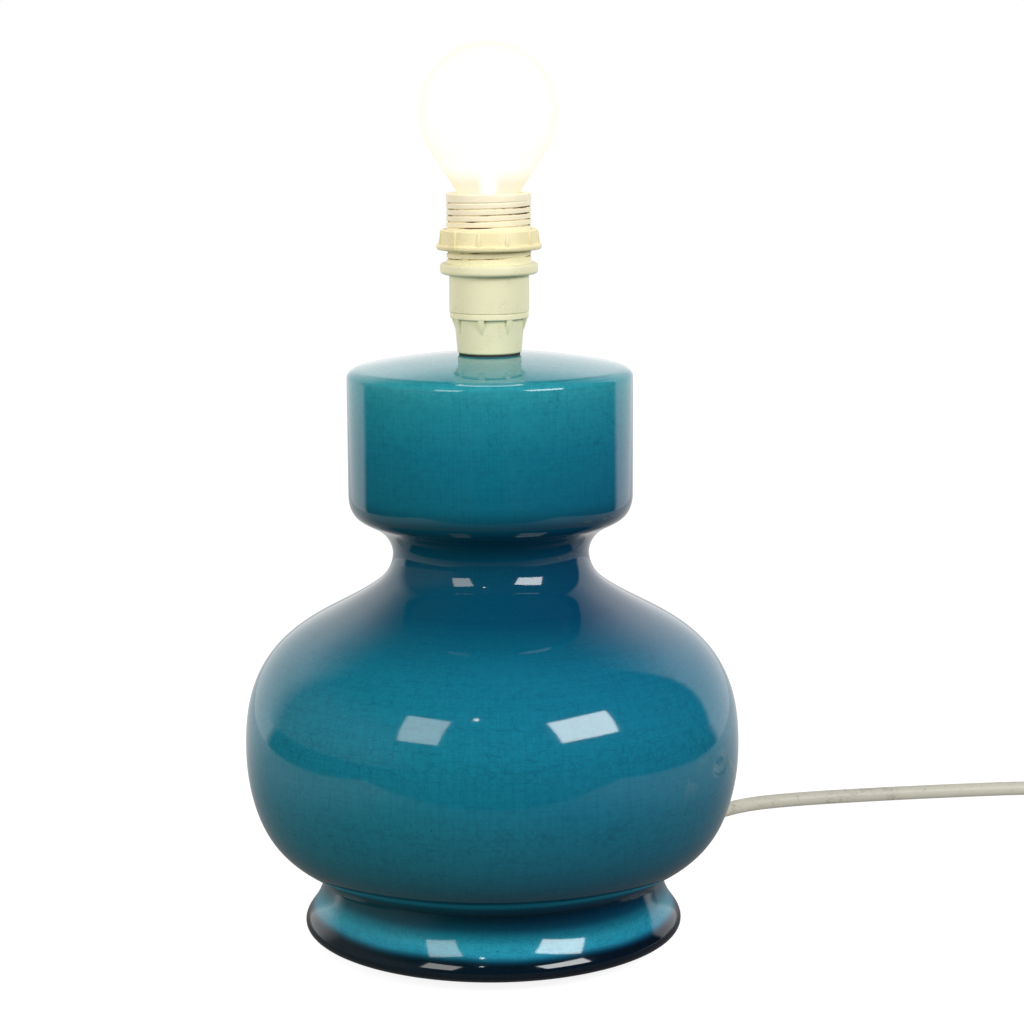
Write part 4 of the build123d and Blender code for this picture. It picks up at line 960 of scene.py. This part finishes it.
def holder_barrel():
    """Smooth body with its flange, and the threaded barrel above it."""
    thread_high = mouth_z - thread_land
    body = turned(
        "holder_upper_half",
        [
            (barrel_r, thread_high),
            *rounded(
                (barrel_r, thread_high),
                (barrel_r, mouth_z, mouth_edge),
                (holder_bore_r, mouth_z, mouth_edge),
                (holder_bore_r, split_z + ledge_h),
                (spigot_bore_r, split_z + ledge_h),
                (spigot_bore_r, split_z - spigot_h),
                (spigot_r, split_z - spigot_h),
                (spigot_r, split_z),
                (holder_r, split_z, split_edge),
                (holder_r, flange_z, flange_root_edge),
                (flange_r, flange_z, flange_low_edge),
                (flange_r, barrel_z, flange_high_edge),
                (barrel_r, barrel_z, barrel_root_edge),
                (barrel_r, barrel_z + thread_foot),
            )[1:-1],
        ],
        piece_segments,
        "cream_paint",
    )
    values = {
        "Radius": barrel_r * MM,
        "Pitch": thread_pitch * MM,
        "Depth": thread_depth * MM,
        "Low": (barrel_z + thread_foot) * MM,
        "High": thread_high * MM,
        "Rows a pitch": thread_rows,
        "Segments": piece_segments,
        "Finish": finishes["cream_paint"],
    }
    thread = grown(base_mesh("thread", [(0, 0, 0)]), barrel_thread, values)
    joined(body, thread)
    smoothed(body)
    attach(body, "lamp")
    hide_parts("holder_barrel")


def shade_ring():
    """Loose ring on the thread, with its flange below and grips round its cone."""
    top = ring_z + ring_h
    ring = turned(
        "ring_with_grips",
        rounded(
            (ring_bore_r, ring_z, ring_bore_edge),
            (ring_flange_r, ring_z, ring_flange_edge),
            (ring_flange_r, ring_z + ring_flange_t, ring_flange_edge),
            (ring_cone_base_r, ring_z + ring_flange_t, ring_root_edge),
            (ring_cone_top_r, top, ring_top_edge),
            (ring_bore_r, top, ring_bore_edge),
        ),
        piece_segments,
        "warm_cream_plastic",
    )
    low, high, root_r = ring_z + ring_flange_t / 2, top - grip_top_gap, ring_cone_top_r - grip_root
    low_out, high_out = ring_cone_base_r + grip_low_out, ring_cone_top_r + grip_high_out
    one = rib("grip", low, high, root_r, low_out, high_out, grip_low_half, grip_high_half)
    joined(ring, copied_round(one, grip_count, grip_turn, "warm_cream_plastic"))
    smoothed(ring)
    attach(ring, "shade_ring")
    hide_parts("shade_ring")


# Bulb

def bulb_side(depth):
    """Half outline of the glass, a depth inside its face, from its foot to its top."""
    ball_r, neck_r = bulb_ball_r - depth, bulb_neck_r - depth
    leave = Vector((ball_r * math.cos(bulb_cone), bulb_ball_z - ball_r * math.sin(bulb_cone)))
    slant = (leave.x - neck_r) / math.sin(bulb_cone)
    corner = Vector((neck_r, leave.y - slant * math.cos(bulb_cone)))
    bend = rounded((neck_r, bulb_foot_z), (*corner, bulb_bend_r + depth), tuple(leave), steps=bend_steps)
    ball = [
        (ball_r * math.cos(angle), bulb_ball_z + ball_r * math.sin(angle))
        for angle in np.linspace(-bulb_cone, math.pi / 2, ball_points)
    ]
    return bend[:-2] + ball


def bulb():
    """Glass of the bulb, with its wall's thickness and its open foot."""
    outer, inner = bulb_side(0), bulb_side(glass_t)
    glass = turned("bulb_envelope", [*outer, *reversed(inner), outer[0]], piece_segments, "opal_glass")
    joined(glass)
    smoothed(glass)
    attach(glass, "bulb")
    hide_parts("bulb_glass")


# Cords

def cord(name, points, body, slot, replaced):
    """Round cord along a smooth line by points in millimetres."""
    curve = bpy.data.curves.new(name, "CURVE")
    curve.dimensions = "3D"
    curve.bevel_depth = cord_d / 2 * MM
    curve.bevel_resolution = 5
    curve.resolution_u = 4
    curve.use_fill_caps = True
    spline = curve.splines.new("NURBS")
    spline.points.add(len(points) - 1)
    for target, point in zip(spline.points, points):
        target.co = (*(value * MM for value in point), 1)
    spline.order_u = 3
    spline.use_endpoint_u = True
    curve.materials.append(finishes[slot])
    made = bpy.data.objects.new(name, curve)
    bpy.context.scene.collection.objects.link(made)
    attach(made, body)
    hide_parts(*replaced)
    return made


def coil_points():
    """Turns of the put-away coil: half turns that spiral in, climb a layer and spiral out."""
    half = coil_turn_points // 2
    radii = [coil_outer_r - coil_step * number for number in range(coil_halves_in)]
    radii += [coil_inner_r + coil_step * (number + 1) for number in range(coil_halves_out)]
    points, y, side = [], coil_outer_r, 1
    for number, radius in enumerate(radii):
        middle = y - side * radius
        start = coil_low if number <= coil_last_in else coil_high
        end = coil_low if number < coil_last_in else coil_high
        for step in range(half):
            angle = math.pi * (step + 0.5) / half
            share = (step + 0.5) / half
            points.append(
                (
                    coil_place[0] + side * radius * math.sin(angle),
                    coil_place[1] + middle + side * radius * math.cos(angle),
                    start + (end - start) * share,
                )
            )
        y -= 2 * side * radius
        side = -side
    return points


def cords():
    """Lead from the lamp by the coil to the switch, and lead from the switch to the plug."""
    coil_start = (coil_place[0] - cord_d, coil_place[1] + coil_outer_r, coil_low)
    supply = cord(
        "supply_lead",
        [*lamp_route, coil_start, *coil_points(), *switch_route],
        "lamp",
        "ivory_sheath",
        ["supply_cord", "cord_coil", "switch_cord"],
    )
    plug = cord("plug_lead", plug_route, "lamp", "ivory_sheath", ["plug_cord"])


ceramic_body()
holder_cap()
holder_barrel()
shade_ring()
bulb()
cords()

# Pieces that keep the part's own mesh, and their finishes
kept = {
    "ivory_rubber": ["cord_grommet"],
    "ivory_sheath": ["inner_cord"],
    "brown_core": ["live_core"],
    "blue_core": ["neutral_core"],
    "zinc_steel": ["threaded_stem", "steel_washer", "lock_nut", "cap_grub_screw", "switch_screws"],
    "dark_fibre": ["seat_washer"],
    "black_rubber": ["soft_washer"],
    "white_porcelain": ["contact_insert"],
    "brass": [
        "screw_shell",
        "centre_contact",
        "live_terminal",
        "neutral_terminal",
        "terminal_screws",
        "switch_contacts",
    ],
    "nickel_plate": ["bulb_cap_shell", "plug_pins"],
    "black_glass": ["bulb_insulator"],
    "solder": ["bulb_tip"],
    "clear_glass": ["bulb_stem"],
    "tungsten": ["bulb_filament", "bulb_leads"],
    "ivory_switch": ["switch_base", "switch_cover"],
    "white_rocker": ["switch_rocker"],
    "ivory_plug": ["plug_body"],
}
for finish, names in kept.items():
    for name in names:
        for place in nodes[name].material_slots:
            place.material = finishes[finish]


# Floor, world, lamps and camera

def floor():
    """White table, which keeps the lamp's shadow, and what the glaze sees of it and past it."""
    corners = [(x * floor_half, y * floor_half, 0) for x, y in ((-1, -1), (1, -1), (1, 1), (-1, 1))]
    made = base_mesh("floor", corners, (), [(0, 1, 2, 3)])
    finish, tree, shader = material("white_table", 0.9)
    place = object_place(tree)
    apart = split(tree, place)
    across = maths(tree, "ABSOLUTE", apart["X"])
    paper = blend(tree, cloud(tree, place, 3.0), (0.34, 0.34, 0.34, 1), (0.35, 0.35, 0.35, 1))
    tree.links.new(paper, shader["Base Color"])
    shader["Specular IOR Level"].default_value = 0.0
    shader["Emission Color"].default_value = white
    shader["Emission Strength"].default_value = 0.88
    # What the glaze sees of the table: dark past its front edge, brighter at the sides and behind
    behind = span(tree, apart["Y"], -0.05, 0.35, 0.13, 0.68)
    aside = span(tree, across, 0.10, 0.35, 0.0, 0.28)
    level = maths(tree, "MAXIMUM", behind, maths(tree, "ADD", aside, 0.13))
    on_top = span(tree, apart["Y"], table_front - front_blur, table_front + front_blur, 0.12, 1.0)
    level = maths(tree, "MULTIPLY", level, on_top)
    # Past the table's sides lies the room, with the white screen behind the lamp
    back = maths(tree, "DIVIDE", apart["Y"], maths(tree, "SQRT", squared_reach(tree, apart)))
    screen = span(tree, back, 0.42, 0.54, 0.03, 1.0)
    past = span(tree, across, table_half - side_blur, table_half + side_blur)
    level = blend_value(tree, past, level, screen)
    seen = add(tree, "ShaderNodeEmission", {"Color": white, "Strength": level}).outputs[0]
    table = tree.nodes["Principled BSDF"].outputs[0]
    direct = tree.nodes.new("ShaderNodeLightPath").outputs["Is Camera Ray"]
    both = add(tree, "ShaderNodeMixShader", {0: direct, 1: seen, 2: table}).outputs[0]
    tree.links.new(both, tree.nodes["Material Output"].inputs["Surface"])
    made.data.materials.append(finish)


def surroundings():
    """World: white where it is seen, a soft fill on the lamp, and a room for the gloss."""
    world = bpy.data.worlds.new("studio")
    bpy.context.scene.world = world
    world.use_nodes = True
    tree = world.node_tree
    tree.nodes.clear()
    apart = split(tree, add(tree, "ShaderNodeTexCoord").outputs["Generated"])
    level_reach = maths(tree, "SQRT", squared_reach(tree, apart))
    back = maths(tree, "DIVIDE", apart["Y"], maths(tree, "ADD", level_reach, 0.0001))
    # The screen's edge is sharp on the right and soft on the left
    right = span(tree, apart["X"], -0.05, 0.05)
    edge = blend_value(tree, right, span(tree, back, 0.30, 0.70), span(tree, back, 0.46, 0.54))
    # Straight behind the lamp the screen ends lower than at its sides
    centred = span(tree, maths(tree, "ABSOLUTE", apart["X"]), 0.14, 0.34, 1.0, 0.0)
    tall = span(tree, apart["Z"], 0.42, maths(tree, "MULTIPLY_ADD", right, 0.08, 0.82), 1.0, 0.0)
    short = span(tree, apart["Z"], 0.30, 0.62, 1.15, 0.0)
    low_enough = blend_value(tree, centred, tall, short)
    screen = maths(tree, "MULTIPLY", edge, low_enough)
    wall = maths(tree, "MULTIPLY", span(tree, apart["X"], -0.9, -0.45, 0.18, 0.0), low_enough)
    level = maths(tree, "ADD", maths(tree, "MAXIMUM", screen, wall), 0.02)
    gloss = add(tree, "ShaderNodeBackground", {"Color": white, "Strength": level}).outputs[0]
    fill = add(tree, "ShaderNodeBackground", {"Color": white, "Strength": 0.46}).outputs[0]
    seen = add(tree, "ShaderNodeBackground", {"Color": white, "Strength": 1.0}).outputs[0]
    path = tree.nodes.new("ShaderNodeLightPath").outputs
    direct = maths(tree, "MAXIMUM", path["Is Camera Ray"], path["Is Transmission Ray"])
    lit = add(tree, "ShaderNodeMixShader", {0: path["Is Glossy Ray"], 1: fill, 2: gloss}).outputs[0]
    whole = add(tree, "ShaderNodeMixShader", {0: direct, 1: lit, 2: seen}).outputs[0]
    output = tree.nodes.new("ShaderNodeOutputWorld")
    tree.links.new(whole, output.inputs["Surface"])


def lamp(name, place, target, width, height, radiance, tone, shape="RECTANGLE", seen=True):
    """Soft lamp that faces a point, and is as bright as its radiance says at any size."""
    light = bpy.data.lights.new(name, "AREA")
    light.shape = shape
    light.size, light.size_y = width * MM, height * MM
    area = light.size * light.size_y * (math.pi / 4 if shape == "ELLIPSE" else 1)
    # Such a lamp's watts are four times its radiance times its area
    light.energy = 4 * radiance * area
    light.color = tone
    made = bpy.data.objects.new(name, light)
    bpy.context.scene.collection.objects.link(made)
    made.location = Vector(place) * MM
    made.visible_glossy = seen
    away = made.location - Vector(target) * MM
    made.rotation_euler = away.to_track_quat("Z", "Y").to_euler()


def glow():
    """Light of the bulb on the drum and the holder: a thin shell round its glass, unseen itself."""
    shell = bmesh.new()
    bmesh.ops.create_uvsphere(shell, u_segments=48, v_segments=24, radius=(bulb_ball_r + glow_gap) * MM)
    mesh = bpy.data.meshes.new("bulb_glow")
    shell.to_mesh(mesh)
    shell.free()
    made = bpy.data.objects.new("bulb_glow", mesh)
    bpy.context.scene.collection.objects.link(made)
    made.location = (0, 0, bulb_ball_z * MM)
    finish = bpy.data.materials.new("bulb_glow")
    finish.use_nodes = True
    tree = finish.node_tree
    tree.nodes.clear()
    inside = tree.nodes.new("ShaderNodeNewGeometry").outputs["Backfacing"]
    light = add(tree, "ShaderNodeEmission", {"Color": (1.0, 0.95, 0.86, 1), "Strength": 5.0}).outputs[0]
    clear = tree.nodes.new("ShaderNodeBsdfTransparent").outputs[0]
    both = add(tree, "ShaderNodeMixShader", {0: inside, 1: light, 2: clear}).outputs[0]
    output = tree.nodes.new("ShaderNodeOutputMaterial")
    tree.links.new(both, output.inputs["Surface"])
    mesh.materials.append(finish)
    made.visible_camera = False
    made.visible_shadow = False


def camera():
    """Camera fitted to the photograph."""
    made = bpy.data.objects.new("camera", bpy.data.cameras.new("camera"))
    bpy.context.scene.collection.objects.link(made)
    made.location = camera_place
    turn = Matrix.Rotation(camera_pitch, 3, "X") @ Matrix.Rotation(camera_roll, 3, "Z")
    made.rotation_euler = turn.to_euler()
    made.data.lens = camera_lens
    made.data.sensor_width = camera_sensor
    made.data.shift_x = camera_shift
    made.data.clip_start, made.data.clip_end = camera_near, camera_far
    bpy.context.scene.camera = made


floor()
surroundings()
# Place, aim, width and height in millimetres, then radiance and tone
belly_front = (0, -60, 90)
lamp("left_softbox", (-609, -883, 717), belly_front, 415, 497, 3.7, (1.0, 0.99, 0.95))
lamp("right_softbox", (778, -749, 690), belly_front, 611, 423, 8.5, (0.97, 1.0, 1.0))
lamp("small_lamp", (-170, -1090, 1169), belly_front, 58, 58, 14.0, (1.0, 0.98, 0.94), "ELLIPSE")
lamp("left_fill", (-950, -620, 420), belly_front, 500, 500, 4.0, (1.0, 0.99, 0.96), seen=False)
glow()
camera()
bpy.context.scene.view_settings.view_transform = "Standard"
